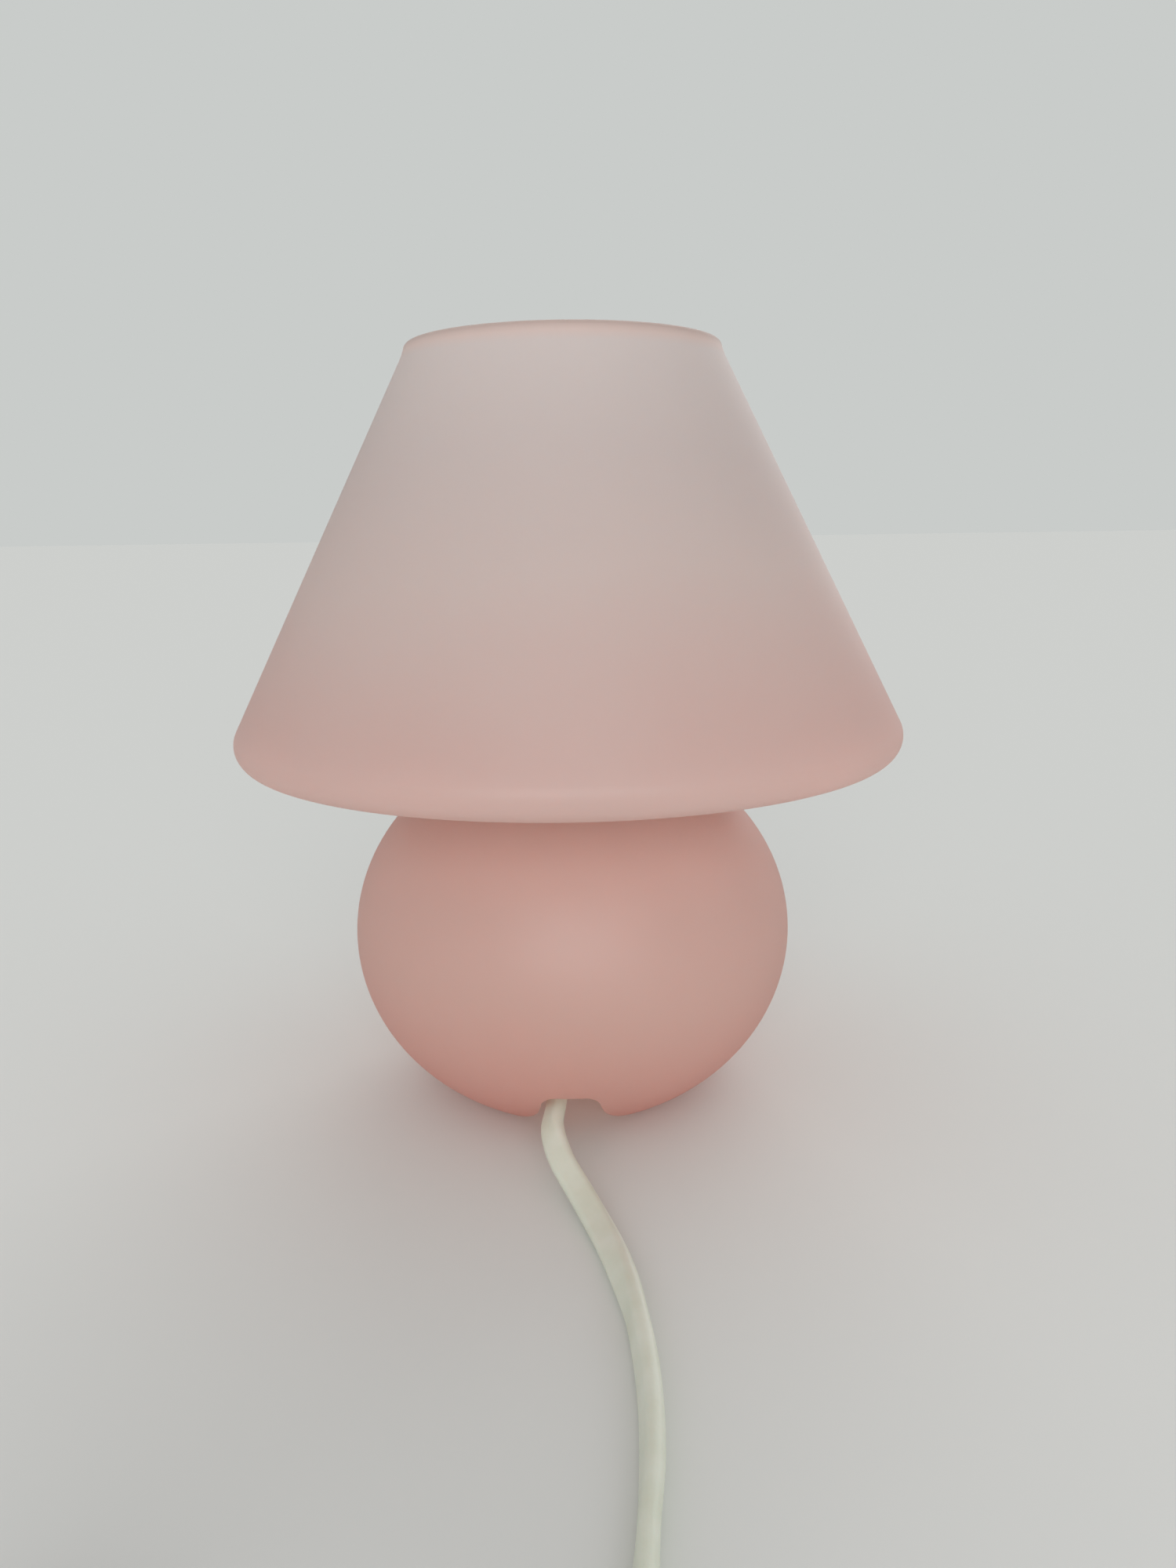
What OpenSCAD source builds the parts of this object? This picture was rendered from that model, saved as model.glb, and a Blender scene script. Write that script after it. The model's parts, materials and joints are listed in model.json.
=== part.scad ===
// Small mushroom table lamp: a one-piece shell of satin glass, a globe bulb in a lampholder that is clamped
// through the glass throat, and a flat flex with a rocker switch and a two-pin plug.
// Millimetres, +Z up, origin on the lamp's axis at the table.

/* [Glass shell] */
// Height from the table to the rim
lamp_h = 200; // [190:1:220]
// Outer radius of the open rim
rim_r = 40.5; // [36:0.5:46]
// Height of the upright lip at the rim
lip_h = 3; // [2.5:0.5:6]
// How far the lip leans out towards its foot
lip_lean = 0.5; // [0.2:0.1:1.5]
// Widest radius of the shade
shade_r = 88.5; // [80:0.5:100]
// Height of the shade's widest line
shade_z = 101.4; // [98:0.1:106]
// Radius that rounds the shade's lower edge
shoulder_r = 6; // [4.5:0.5:10]
// Half the width of the ball
ball_r = 60.3; // [55:0.1:66]
// Half the height of the ball
ball_c = 53; // [51:0.1:56]
// Height of the ball's centre
ball_z = 44.9; // [43:0.1:47]
// Radius at which the ball's outside turns into the waist
waist_r = 28; // [26:0.5:31]
// Outside radius of the fold between ball and shade
fold_r = 5; // [4:0.5:7]
// Thickness of the glass
glass_t = 3; // [2.4:0.1:3.4]

/* [Cord notch] */
// Height of the notch over the table
notch_h = 15.6; // [13:0.2:20]
// Width at the top of the notch
notch_top_w = 13.4; // [12:0.2:18]
// Width of the notch at the table
notch_foot_w = 20; // [19:0.5:26]
// Radius of the notch's upper corners
notch_round = 2; // [1:0.5:4]

/* [Throat clamp] */
// Thickness of the rubber rings
gasket_t = 1.6; // [1:0.1:2.4]
// Width of the rubber rings
gasket_w = 6; // [4:0.5:8]
// Radius of the plate over the throat
plate_r = 38; // [35:0.5:42]
// Thickness of the plate
plate_t = 1.2; // [0.8:0.1:1.6]
// Drop of the plate's turned-down edge
plate_rim = 1.6; // [1:0.1:2]
// Thickness of the clamp washer under the throat
washer_t = 1.5; // [1:0.1:2.5]
// Height of each ring nut
ring_h = 6; // [5:0.5:8]
// Thickness of a ring nut's flange
flange_t = 1.8; // [1.2:0.1:2.5]
// Radius of a ring nut's flange
flange_r = 20; // [18.5:0.5:22]
// Radius of a ring nut's collar
collar_r = 17.2; // [16.4:0.2:18]
// Grip notches round a ring nut
grip_count = 12; // [6:1:16]
// Radius of a grip notch
grip_r = 1.2; // [0.8:0.1:1.6]

/* [Lampholder] */
// Radius of the holder's threaded skirt
skirt_r = 14; // [13:0.1:15]
// How far the holder's mouth stands over the upper ring nut
mouth_out = 3.5; // [2:0.5:6]
// Depth from the mouth to the ledge that holds the screw shell
ledge_depth = 25; // [24:0.5:28]
// Inner radius of the screw shell
shell_r = 7.4; // [7.2:0.1:7.8]
// Sheet thickness of the screw shell
shell_t = 0.6; // [0.4:0.1:0.8]
// How far the screw shell stays below the mouth
shell_sunk = 2; // [1:0.5:4]
// Wall of the skirt round the contact carrier
skirt_t = 2.1; // [1.6:0.1:2.6]
// Height of the contact carrier
carrier_h = 15; // [12:0.5:16]
// Width of a terminal block
block_w = 5; // [4:0.1:5.4]
// Depth of a terminal block
block_d = 8.6; // [8.2:0.1:9]
// Height of a terminal block
block_h = 8; // [7:0.5:9]
// Distance of the terminal blocks from the axis
block_x = 6.3; // [5.6:0.1:6.6]
// Radius of the terminal and grip screws
screw_r = 1.3; // [1.1:0.1:1.4]
// Radius of those screws' heads
head_r = 2.2; // [2:0.1:2.4]
// Height of those screws' heads
head_h = 1.5; // [1.2:0.1:1.8]
// Rise of the centre contact's tongue
tongue_h = 2.6; // [2:0.1:3.4]
// Strip thickness of the contacts
strip_t = 0.5; // [0.4:0.1:0.6]
// Height of the holder's cap
cap_h = 24; // [23:0.5:28]
// How far the cap overlaps the skirt
cap_lap = 8; // [6:0.5:9]
// Wall of the cap
cap_t = 1.6; // [1.2:0.1:2.2]
// Thickness of the cap's floor
cap_floor_t = 2.2; // [1.6:0.1:3]
// Radius of the cap's flat nose
cap_nose_r = 10.8; // [10.6:0.1:12]
// Height of the cap's tapered part
cap_taper_h = 9; // [8:0.5:11]
// Height of the cord grip jaws
grip_h = 6; // [5:0.5:7]
// Thickness of a cord grip jaw
jaw_t = 3; // [2.4:0.1:3.2]
// Distance of the grip screws from the axis
grip_x = 5; // [4.8:0.1:5.2]

/* [Bulb] */
// Diameter of the globe
globe_d = 45; // [40:0.5:50]
// Length of the bulb from its contact to its top
bulb_l = 78; // [72:1:90]
// Radius of the screw cap
bulb_cap_r = 6.9; // [6.6:0.1:7]
// Length from the contact to the top of the screw cap
bulb_cap_l = 24; // [22:0.5:27]
// Height of the contact tip
tip_h = 1.4; // [1:0.1:2]
// Height of the insulator
insulator_h = 3; // [2.5:0.1:4]
// Radius of the blend between neck and globe
neck_blend = 14; // [10:0.5:18]
// Glass thickness of the bulb
bulb_t = 0.8; // [0.6:0.1:1.2]

/* [Flex] */
// Width of the flat flex
cord_w = 6.2; // [5.6:0.1:6.4]
// Thickness of the flat flex
cord_t = 3.7; // [3.2:0.1:3.8]
// Radius of one insulated core
core_r = 1.1; // [0.9:0.05:1.15]
// Radius of the coil's outermost turn
coil_r = 42; // [41.5:0.1:43]
// Turns in each layer of the coil
coil_loops = 3; // [2:1:3]
// Step from one turn to the next
coil_step = 4.6; // [4.5:0.1:4.8]
// Step from one layer to the next
layer_step = 6.8; // [6.7:0.1:7.4]
// How far the coil draws in where it climbs
coil_dip = 2.2; // [2:0.1:3]
// Width of the cord tie
tie_w = 7; // [5:0.5:7.5]
// Thickness of the cord tie
tie_t = 0.8; // [0.6:0.1:1]

/* [Rocker switch] */
// Length of the switch case
switch_l = 58; // [56:1:62]
// Width of the switch case
switch_w = 26; // [25:0.5:30]
// Height of the switch case
switch_h = 15; // [14.5:0.5:17]
// Height of the joint between the case halves
split_z = 6.5; // [6.3:0.1:7]
// Wall of the switch case
case_t = 1.8; // [1.4:0.1:2.2]
// Radius of the upper case's edge
crown_r = 4; // [3:0.5:5]
// Chamfer round the bottom of the lower case
foot_chamfer = 1.2; // [0.6:0.1:1.6]
// Width of the rocker
rocker_w = 9.6; // [8:0.2:10.4]
// Reach of the rocker's ends from its pin
rocker_reach = 10; // [8.5:0.1:11]
// Tilt of the rocker either way
rocker_tilt = 7; // [5:0.5:8]
// Height of the rocker's middle over its pin
rocker_dish = 4.2; // [4:0.1:5]
// Depth of the pin below the top of the case
pin_depth = 3.5; // [3.4:0.1:3.8]
// Radius of the rocker's pins
pin_r = 1.25; // [1:0.05:1.4]
// Reach of the plunger below the pin
plunger_l = 6; // [5.6:0.1:6.2]
// Radius of the plunger
plunger_r = 1.2; // [1:0.05:1.3]
// Half the length of the contact blade
blade_l = 8; // [7.6:0.1:9]
// Width of the contact blade
blade_w = 4; // [3:0.2:4.6]
// Distance of the case screws from the middle, across the case
case_screw_x = 8.2; // [7.8:0.1:8.4]
// Distance of the case screws from the middle, along the case
case_screw_y = 18; // [17:0.5:19]

/* [Plug] */
// Width of the plug's front
plug_w = 35.3; // [33:0.1:36]
// Height of the plug
plug_h = 13.7; // [13:0.1:14.5]
// Length of the plug's body
plug_l = 36; // [34:0.5:40]
// Length of the plug's strain relief
relief_l = 22; // [20:0.5:24]
// Radius of the strain relief at the body
relief_r = 5.6; // [5:0.1:6]
// Distance between the pins
pin_gap = 18.6; // [17.5:0.1:19]
// Length of the pins
plug_pin_l = 19; // [18:0.5:20]
// Radius of the pins' bare ends
plug_pin_r = 2; // [1.9:0.05:2.1]
// Length of the pins' sleeves in front of the plug
sleeve_l = 10; // [8:0.5:12]

/* [Clearances] */
// Gap between a soft seat and the glass
seat_gap = 0.2; // [0.15:0.05:0.3]
// Gap round pieces that are pushed or screwed together
fit_gap = 0.1; // [0.05:0.05:0.2]
// Gap round a pin that turns
run_gap = 0.05; // [0.02:0.01:0.1]
// Gap round pieces that swing
swing_gap = 0.35; // [0.3:0.05:0.5]
// Gap round the flex where it is held
cord_gap = 0.15; // [0.05:0.05:0.3]
// Gap between the bulb's contact and the tongue
touch_gap = 0.3; // [0.2:0.05:0.5]
// Gap between the coil and its tie
tie_gap = 0.6; // [0.5:0.1:0.8]

/* [Hidden] */
$fn = 96;
// Steps along a tight round, a rim and the ball
round_n = 10;
edge_n = 8;
ball_n = 20;
// Overlap of a cut past the face that it opens
past = 1;

// Colours of the materials
glass_col = [0.84, 0.70, 0.66];
ivory_col = [0.88, 0.87, 0.80];
rubber_col = [0.16, 0.16, 0.16];
steel_col = [0.72, 0.73, 0.75];
brass_col = [0.80, 0.66, 0.35];
white_col = [0.92, 0.92, 0.90];
ceramic_col = [0.86, 0.83, 0.78];
frost_col = [0.95, 0.95, 0.93];
black_col = [0.10, 0.10, 0.11];

function dir(a) = [cos(a), sin(a)];
function ang(v) = atan2(v[1], v[0]);
function unit(v) = v / norm(v);
function rest(v) = [for (i = [1:len(v) - 1]) v[i]];
function arc(c, r, a0, a1, n) = [for (i = [0:n]) c + r * dir(a0 + (a1 - a0) * i / n)];
function oval(c, rx, ry, a0, a1, n) =
    [for (i = [0:n]) let (a = a0 + (a1 - a0) * i / n) c + [rx * cos(a), ry * sin(a)]];
function flipped(v) = [for (i = [len(v) - 1:-1:0]) [-v[i][0], v[i][1]]];

// Outline of the glass: rim, cone, shoulder, underside, fold, ball and foot
shoulder_c = [shade_r - shoulder_r, shade_z];
rim_c = [rim_r - glass_t / 2, lamp_h - glass_t / 2];
lip_foot = [rim_r + lip_lean, lamp_h - lip_h];
lip_a = atan(lip_lean / lip_h);
to_lip = lip_foot - shoulder_c;
cone_a = ang(to_lip) - acos(shoulder_r / norm(to_lip));
lip_turn = (cone_a - lip_a) / 2;
ball_mid = [0, ball_z];
waist_t = acos(waist_r / ball_r);
waist_a = ang([cos(waist_t) / ball_r, sin(waist_t) / ball_c]);
fold_c = ball_mid + [ball_r * cos(waist_t), ball_c * sin(waist_t)] + fold_r * dir(waist_a);
to_fold = fold_c - shoulder_c;
under_turn = ang(to_fold) + acos((shoulder_r + fold_r) / norm(to_fold));
under_a = under_turn > 0 ? under_turn - 360 : under_turn;
foot_t = -asin(ball_z / ball_c);
inner_r = ball_r - glass_t;
inner_c = ball_c - glass_t;
inner_foot_t = -asin(ball_z / inner_c);
inner_waist = fold_c - (fold_r + glass_t) * dir(waist_a);
inner_waist_t = acos(inner_waist[0] / inner_r);
shell_outline = concat(
    arc(rim_c, glass_t / 2, lip_a + 180, lip_a, edge_n),
    [lip_foot],
    arc(shoulder_c, shoulder_r, cone_a, under_a, round_n),
    arc(fold_c, -fold_r, under_a, waist_a, round_n),
    rest(oval(ball_mid, ball_r, ball_c, waist_t, foot_t, ball_n)),
    oval(ball_mid, inner_r, inner_c, inner_foot_t, inner_waist_t, ball_n),
    rest(arc(fold_c, -fold_r - glass_t, waist_a, under_a, round_n)),
    arc(shoulder_c, shoulder_r - glass_t, under_a, cone_a, round_n),
    [lip_foot - glass_t / cos(lip_turn) * dir(lip_a + lip_turn)]);

// Outline of the notch: slanted sides and rounded upper corners
notch_slope = (notch_foot_w - notch_top_w) / 2 / notch_h;
notch_a = atan(notch_slope);
notch_c = [notch_top_w / 2 + notch_slope * notch_round - notch_round / cos(notch_a), notch_h - notch_round];
notch_side = concat([[notch_foot_w / 2 + notch_slope * past, -past]],
    arc(notch_c, notch_round, notch_a, 90, edge_n));

// Heights of the clamp and the lampholder, stacked from the glass throat
crest_r = fold_c[0];
crest_z = fold_c[1] + fold_r + glass_t;
gasket_z = crest_z + seat_gap;
plate_z = gasket_z + gasket_t;
upper_nut_z = plate_z + plate_t;
mouth_z = upper_nut_z + ring_h + mouth_out;
lower_in_r = inner_waist[0] + fit_gap;
lower_out_r = lower_in_r + gasket_w;
function ceiling_z(r) = ball_z + inner_c * sqrt(1 - pow(r / inner_r, 2));
lower_gasket_z = ceiling_z(lower_out_r) - seat_gap - gasket_t;
washer_z = lower_gasket_z - washer_t;
cap_top = washer_z - ring_h - fit_gap;
cap_z = cap_top - cap_h;
body_z = cap_top - cap_lap;
ledge_z = mouth_z - ledge_depth;
carrier_top = ledge_z - shell_t;
carrier_z = carrier_top - carrier_h;
carrier_r = skirt_r - skirt_t - fit_gap;
cap_r = skirt_r + fit_gap + cap_t;
cap_hole_r = cord_w / 2 + 2 * cord_gap;
cap_ledge = 1.4;
mouth_chamfer = 1;
block_skin = 1;
tongue_w = 4;
tongue_bend = [[1.4 - shell_r, 0], [-3, 0], [-1.2, tongue_h], [2.4, tongue_h]];
tongue_lead = [0, -0.2, -0.2, 0];
grip_z = cap_z + cap_floor_t + fit_gap;
jaw_y = cord_t / 2 + cord_gap;
jaw_half = grip_x + screw_r + cord_gap;
thread_r = skirt_r + fit_gap;
wire_y = block_d / 4;

// Heights and radii of the bulb, counted from its contact
bulb_z = carrier_top + tongue_h + strip_t + touch_gap;
globe_r = globe_d / 2;
globe_c = [0, bulb_l - globe_r];
neck_r = bulb_cap_r - 2 * fit_gap - shell_t;
neck_run = sqrt(pow(globe_r + neck_blend, 2) - pow(neck_r + neck_blend, 2));
neck_c = [neck_r + neck_blend, globe_c[1] - neck_run];
neck_a = ang(globe_c - neck_c);
neck_sunk = 8;
neck_low = bulb_cap_l - neck_sunk;
tip_r = bulb_cap_r / 4;
tip_foot_r = bulb_cap_r / 2.5;
stem_r = 1.7;
stem_top = neck_c[1] + 16;
flare_r = neck_r - bulb_t - fit_gap;
flare_edge = 1.5;
flare_h = 9;
wire_r = 0.35;
lead_x = 0.8;
filament_x = 9;

// Places of the switch, the coil and the plug on the table
switch_x = 12.5;
switch_y = -237;
switch_end = switch_l / 2;
coil_y = -306;
coil_x = switch_x - coil_r;
coil_z = tie_t + tie_gap + cord_w / 2;
plug_x = coil_x - coil_r;
plug_y = -204;
plug_z = plug_h / 2;
plug_back = plug_y - plug_l;
plug_back_l = 1;
plug_back_h = plug_h - 2;
sheath_in = 9;
relief_ribs = 5;
relief_taper = 0.2;
rib_share = 0.6;
rib_deep = 0.8;
sleeve_t = 0.4;
plug_tip = 1.5;

// Routes of the flex as [x, y, z, roll of the flat face in degrees]
lead_route = [[0, 0, grip_z + grip_h, 0], [0, 0, cap_z, 0], [0, -2, 40, 0], [0, -9, 29, 8],
    [-1, -20, 20.5, 20], [-2.6, -33, 15.5, 38], [-3.8, -46, 12, 50], [-4.4, -54, 10, 42], [-2, -63, 7.2, 22],
    [2.4, -72, 4.4, 15], [6.6, -82, 2.7, 18], [9.8, -92, 2.6, 30], [12.4, -103, 3, 52], [14.4, -114, 3.2, 75],
    [15.8, -127, 3.2, 72],
    [16.3, -140, 3.2, 72], [15.9, -153, 3.2, 75], [14.7, -166, 3.2, 85], [13.4, -179, 3.4, 62],
    [12.6, -191, 4.6, 24], [switch_x, -202, 6.2, 0], [switch_x, switch_y + switch_end, split_z, 0],
    [switch_x, switch_y + switch_end - sheath_in, split_z, 0]];
link_route = [[switch_x, switch_y - switch_end + sheath_in, split_z, 0],
    [switch_x, switch_y - switch_end, split_z, 0], [switch_x, -275, 6, 25], [switch_x, -285, 5.2, 60],
    [switch_x, -294, coil_z, 90], [switch_x, coil_y + cord_w, coil_z, 90]];
tail_route = [[plug_x, coil_y + cord_w, coil_z + layer_step, 90], [plug_x, -293, coil_z + layer_step, 90],
    [plug_x, -283, 10, 56], [plug_x, -273, 8.2, 18], [plug_x, plug_back - relief_l, plug_z, 0],
    [plug_x, plug_back - relief_l + sheath_in, plug_z, 0]];

// Section of the flex, width first, and of a round core or wire
cord_round = 1.2;
cord_flat_w = cord_w / 2 - cord_round;
cord_flat_t = cord_t / 2 - cord_round;
cord_section = [for (s = [[1, 1], [-1, 1], [-1, -1], [1, -1]])
    each (s[0] * s[1] > 0
        ? [[s[0] * cord_w / 2, s[1] * cord_flat_t], [s[0] * cord_flat_w, s[1] * cord_t / 2]]
        : [[s[0] * cord_flat_w, s[1] * cord_t / 2], [s[0] * cord_w / 2, s[1] * cord_flat_t]])];
function ring_section(r, n) = [for (i = [0:n - 1]) r * dir(360 * i / n)];

// Rings of a section swept along a route, with its width turned from the side that lies nearest to ref
function place(p) = [p[0], p[1], p[2]];
function heading(q, i) = unit(place(q[min(i + 1, len(q) - 1)]) - place(q[max(i - 1, 0)]));
function turned(p, t, roll, section, ref) =
    let (s = unit(ref - (ref * t) * t), b = cross(t, s))
    [for (e = section) p + e[0] * (cos(roll) * s + sin(roll) * b) + e[1] * (cos(roll) * b - sin(roll) * s)];
function swept(q, section, ref) =
    [for (i = [0:len(q) - 1]) turned(place(q[i]), heading(q, i), len(q[i]) > 3 ? q[i][3] : 0, section, ref)];

// Coil of the flex: in by a layer, a climb in the half turn where it reverses, and out again on top
coil_rings = 24;
coil_inner = coil_r - coil_step * coil_loops;
coil_turns = 2 * coil_loops + 0.5;
function climb(u) = min(max(2 * (u - coil_loops), 0), 1);
function coil_reach(u) =
    u <= coil_loops ? coil_r - coil_step * u
    : u <= coil_loops + 0.5 ? coil_inner - coil_dip * sin(180 * climb(u))
    : coil_inner + coil_step * (u - coil_loops - 0.5);
function coil_rise(u) = let (x = climb(u)) layer_step * x * x * x * (10 - 15 * x + 6 * x * x);
coil_section = [[cord_t / 2, cord_flat_w], [0, cord_w / 2], [-cord_t / 2, cord_flat_w],
    [-cord_t / 2, -cord_flat_w], [0, -cord_w / 2], [cord_t / 2, -cord_flat_w]];
function coil_flat(u) = [for (e = coil_section) [coil_reach(u) + e[0], coil_z + coil_rise(u) + e[1]]];
function coil_ring(u, ahead) =
    [for (e = coil_flat(u)) [coil_x + e[0] * cos(360 * u), coil_y + ahead - e[0] * sin(360 * u), e[1]]];
coil_count = coil_turns * coil_rings;
coil_skin = concat([coil_ring(0, cord_w)], [for (k = [0:coil_count]) coil_ring(k / coil_rings, 0)],
    [coil_ring(coil_turns, cord_w)]);

// Least gap between the coil's turns, corner to side, on rings that lie in one plane through its axis
function to_side(p, a, b) =
    let (k = min(max((p - a) * (b - a) / ((b - a) * (b - a)), 0), 1)) norm(p - a - k * (b - a));
function apart(f, g) = min([for (p = f) for (j = [0:len(g) - 1]) to_side(p, g[j], g[(j + 1) % len(g)])]);
coil_gap = min([for (k = [0:coil_count - coil_rings]) for (m = [k + coil_rings:coil_rings:coil_count])
    apart(coil_flat(k / coil_rings), coil_flat(m / coil_rings))]);
echo(least_gap_between_coil_turns = coil_gap);

// Rocker, blade and contacts of the switch, counted from the pin or the floor of the case
pin_z = switch_h - pin_depth;
ridge_r = 0.3;
ridge_z = pin_z - plunger_l - 4 * run_gap - strip_t - ridge_r;
blade_low = ridge_r + run_gap;
blade_tilt = rocker_tilt / 2;
lug_t = 1.8;
lug_w = 6;
lug_drop = 2.6;
skirt_drop = 1.5;
hub_r = 2.4;
hub_drop = 4.5;
spring_turns = 4;
spring_r = 0.85;
spring_wire = 0.2;
spring_low = -2.3;
spring_high = 1.9;
bore_top = 2.2;
plate_half = 3;
plate_h = 0.8;
rivet_r = 1.2;
rivet_y = blade_l - rivet_r;
fixed_y = rivet_y + 0.5;
rivet_h = 0.6;
terminal_x = 6.5;
rib_y = switch_end - 9.5;
rib_half = 4.5;
rib_t = 1.6;
boss_r = 2.8;
boss_bore = 1.35;

module revolve(pts) {
    rotate_extrude() polygon(pts);
}

module washer(r_in, r_out, z, h) {
    translate([0, 0, z]) rotate_extrude() translate([r_in, 0]) square([r_out - r_in, h]);
}

// Outline in the YZ plane, extruded along X
module across(width, pts) {
    rotate([90, 0, 90]) linear_extrude(width, center = true) polygon(pts);
}

// Closed tube through rings of points
module skin(rings) {
    m = len(rings[0]);
    n = len(rings);
    sides = [for (i = [0:n - 2]) for (j = [0:m - 1]) let (k = (j + 1) % m)
        each [[i * m + j, (i + 1) * m + k, i * m + k], [i * m + j, (i + 1) * m + j, (i + 1) * m + k]]];
    first = [for (j = [1:m - 2]) [0, j, j + 1]];
    last = [for (j = [1:m - 2]) [(n - 1) * m, (n - 1) * m + j + 1, (n - 1) * m + j]];
    polyhedron([for (r = rings) each r], concat(sides, first, last));
}

module glass_shell() {
    color(glass_col) difference() {
        revolve(shell_outline);
        rotate([90, 0, 0]) linear_extrude(ball_r) polygon(concat(notch_side, flipped(notch_side)));
    }
}

module upper_gasket() {
    color(rubber_col) washer(crest_r - gasket_w / 2, crest_r + gasket_w / 2, gasket_z, gasket_t);
}

module throat_plate() {
    color(steel_col) revolve([[thread_r, plate_z], [plate_r - plate_t, plate_z],
        [plate_r - plate_t, plate_z - plate_rim], [plate_r, plate_z - plate_rim],
        [plate_r, plate_z + plate_t / 2], [plate_r - plate_t / 2, plate_z + plate_t],
        [thread_r, plate_z + plate_t]]);
}

// Ring nut on the skirt, flange down
module ring_nut() {
    difference() {
        revolve([[thread_r, 0], [flange_r, 0], [flange_r, flange_t], [collar_r, flange_t], [collar_r, ring_h],
            [thread_r, ring_h]]);
        for (i = [0:grip_count - 1]) rotate(360 * i / grip_count) translate([flange_r, 0, -past])
            cylinder(r = grip_r, h = flange_t + 2 * past);
    }
}

module upper_ring_nut() {
    color(white_col) translate([0, 0, upper_nut_z]) ring_nut();
}

module lower_gasket() {
    top = [for (i = [0:edge_n]) let (r = lower_out_r - gasket_w * i / edge_n) [r, ceiling_z(r) - seat_gap]];
    color(rubber_col) revolve(concat([[lower_in_r, lower_gasket_z], [lower_out_r, lower_gasket_z]], top));
}

module clamp_washer() {
    color(steel_col) washer(thread_r, lower_out_r, washer_z, washer_t);
}

module lower_ring_nut() {
    color(white_col) translate([0, 0, washer_z]) mirror([0, 0, 1]) ring_nut();
}

module holder_body() {
    color(white_col) revolve([[shell_r + shell_t + fit_gap, ledge_z], [shell_r + shell_t + fit_gap, mouth_z],
        [skirt_r - mouth_chamfer, mouth_z], [skirt_r, mouth_z - mouth_chamfer], [skirt_r, body_z],
        [skirt_r - skirt_t, body_z], [skirt_r - skirt_t, ledge_z]]);
}

module contact_carrier() {
    color(ceramic_col) difference() {
        translate([0, 0, carrier_z]) cylinder(r = carrier_r, h = carrier_h);
        for (s = [-1, 1]) translate([s * block_x, 0, carrier_z + (block_h - past) / 2])
            cube([block_w + 2 * fit_gap, block_d + 2 * fit_gap, block_h + past + 2 * fit_gap], center = true);
    }
}

module screw_shell() {
    color(brass_col) revolve([[shell_r, carrier_top], [carrier_r, carrier_top], [carrier_r, ledge_z],
        [shell_r + shell_t, ledge_z], [shell_r + shell_t, mouth_z - shell_sunk],
        [shell_r, mouth_z - shell_sunk]]);
}

module centre_contact() {
    color(brass_col) translate([0, 0, carrier_top]) rotate([90, 0, 0]) linear_extrude(tongue_w, center = true)
        polygon(concat(tongue_bend, [for (i = [3:-1:0]) tongue_bend[i] + [tongue_lead[i], strip_t]]));
}

module terminal_blocks() {
    color(brass_col) for (s = [-1, 1]) translate([s * block_x, 0, carrier_z]) difference() {
        translate([0, 0, block_h / 2]) cube([block_w, block_d, block_h], center = true);
        translate([0, wire_y, -past]) cylinder(r = screw_r + run_gap, h = block_h - block_skin + past);
        translate([0, -wire_y, -past]) cylinder(r = core_r + fit_gap, h = block_h - block_skin + past);
    }
}

// Screw along +Z with its head at the bottom
module screw(length) {
    translate([0, 0, -head_h]) cylinder(r = head_r, h = head_h);
    cylinder(r = screw_r, h = length);
}

module terminal_screws() {
    color(steel_col) for (s = [-1, 1]) translate([s * block_x, wire_y, carrier_z])
        screw(block_h - 2 * block_skin);
}

module holder_cap() {
    inside = skirt_r - cap_ledge;
    color(white_col) revolve([[cap_hole_r, cap_z], [cap_nose_r, cap_z], [cap_r, cap_z + cap_taper_h],
        [cap_r, cap_top], [thread_r, cap_top], [thread_r, body_z - fit_gap], [inside, body_z - fit_gap],
        [inside, cap_z + cap_taper_h], [cap_nose_r - cap_t, cap_z + cap_floor_t],
        [cap_hole_r, cap_z + cap_floor_t]]);
}

module grip_jaws() {
    color(white_col) for (s = [-1, 1]) translate([0, s * (jaw_y + jaw_t / 2), grip_z + grip_h / 2])
        difference() {
            cube([2 * jaw_half, jaw_t, grip_h], center = true);
            for (t = [-1, 1]) translate([t * grip_x, 0, 0]) rotate([90, 0, 0])
                cylinder(r = screw_r + run_gap, h = jaw_t + 2 * past, center = true);
        }
}

module grip_screws() {
    color(steel_col) for (t = [-1, 1]) translate([t * grip_x, -jaw_y - jaw_t, grip_z + grip_h / 2])
        rotate([-90, 0, 0]) screw(2 * (jaw_y + jaw_t));
}

module holder_cores() {
    start_z = grip_z + grip_h;
    rise = carrier_z - start_z;
    color(ivory_col) for (s = [-1, 1]) skin(swept([[s * (core_r + fit_gap), 0, start_z],
        [s * (core_r + fit_gap), 0, start_z + rise * 0.2],
        [s * block_x * 0.65, -wire_y * 0.6, start_z + rise * 0.5],
        [s * block_x, -wire_y, start_z + rise * 0.85],
        [s * block_x, -wire_y, carrier_z + block_h - 2 * block_skin]],
        ring_section(core_r, 8), [0, 1, 0]));
}

module bulb_globe() {
    outside = concat([[neck_r, neck_low]], arc(neck_c, neck_blend, 180, neck_a, edge_n),
        rest(arc(globe_c, globe_r, neck_a - 180, 90, ball_n)));
    inside = concat(arc(globe_c, globe_r - bulb_t, 90, neck_a - 180, ball_n),
        rest(arc(neck_c, neck_blend + bulb_t, neck_a, 180, edge_n)), [[neck_r - bulb_t, neck_low]]);
    color(frost_col) translate([0, 0, bulb_z]) revolve(concat(outside, inside));
}

module bulb_cap() {
    low = tip_h + insulator_h;
    color(steel_col) translate([0, 0, bulb_z]) revolve([[bulb_cap_r - shell_t, low], [bulb_cap_r, low],
        [bulb_cap_r, bulb_cap_l], [bulb_cap_r - shell_t, bulb_cap_l]]);
}

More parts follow.
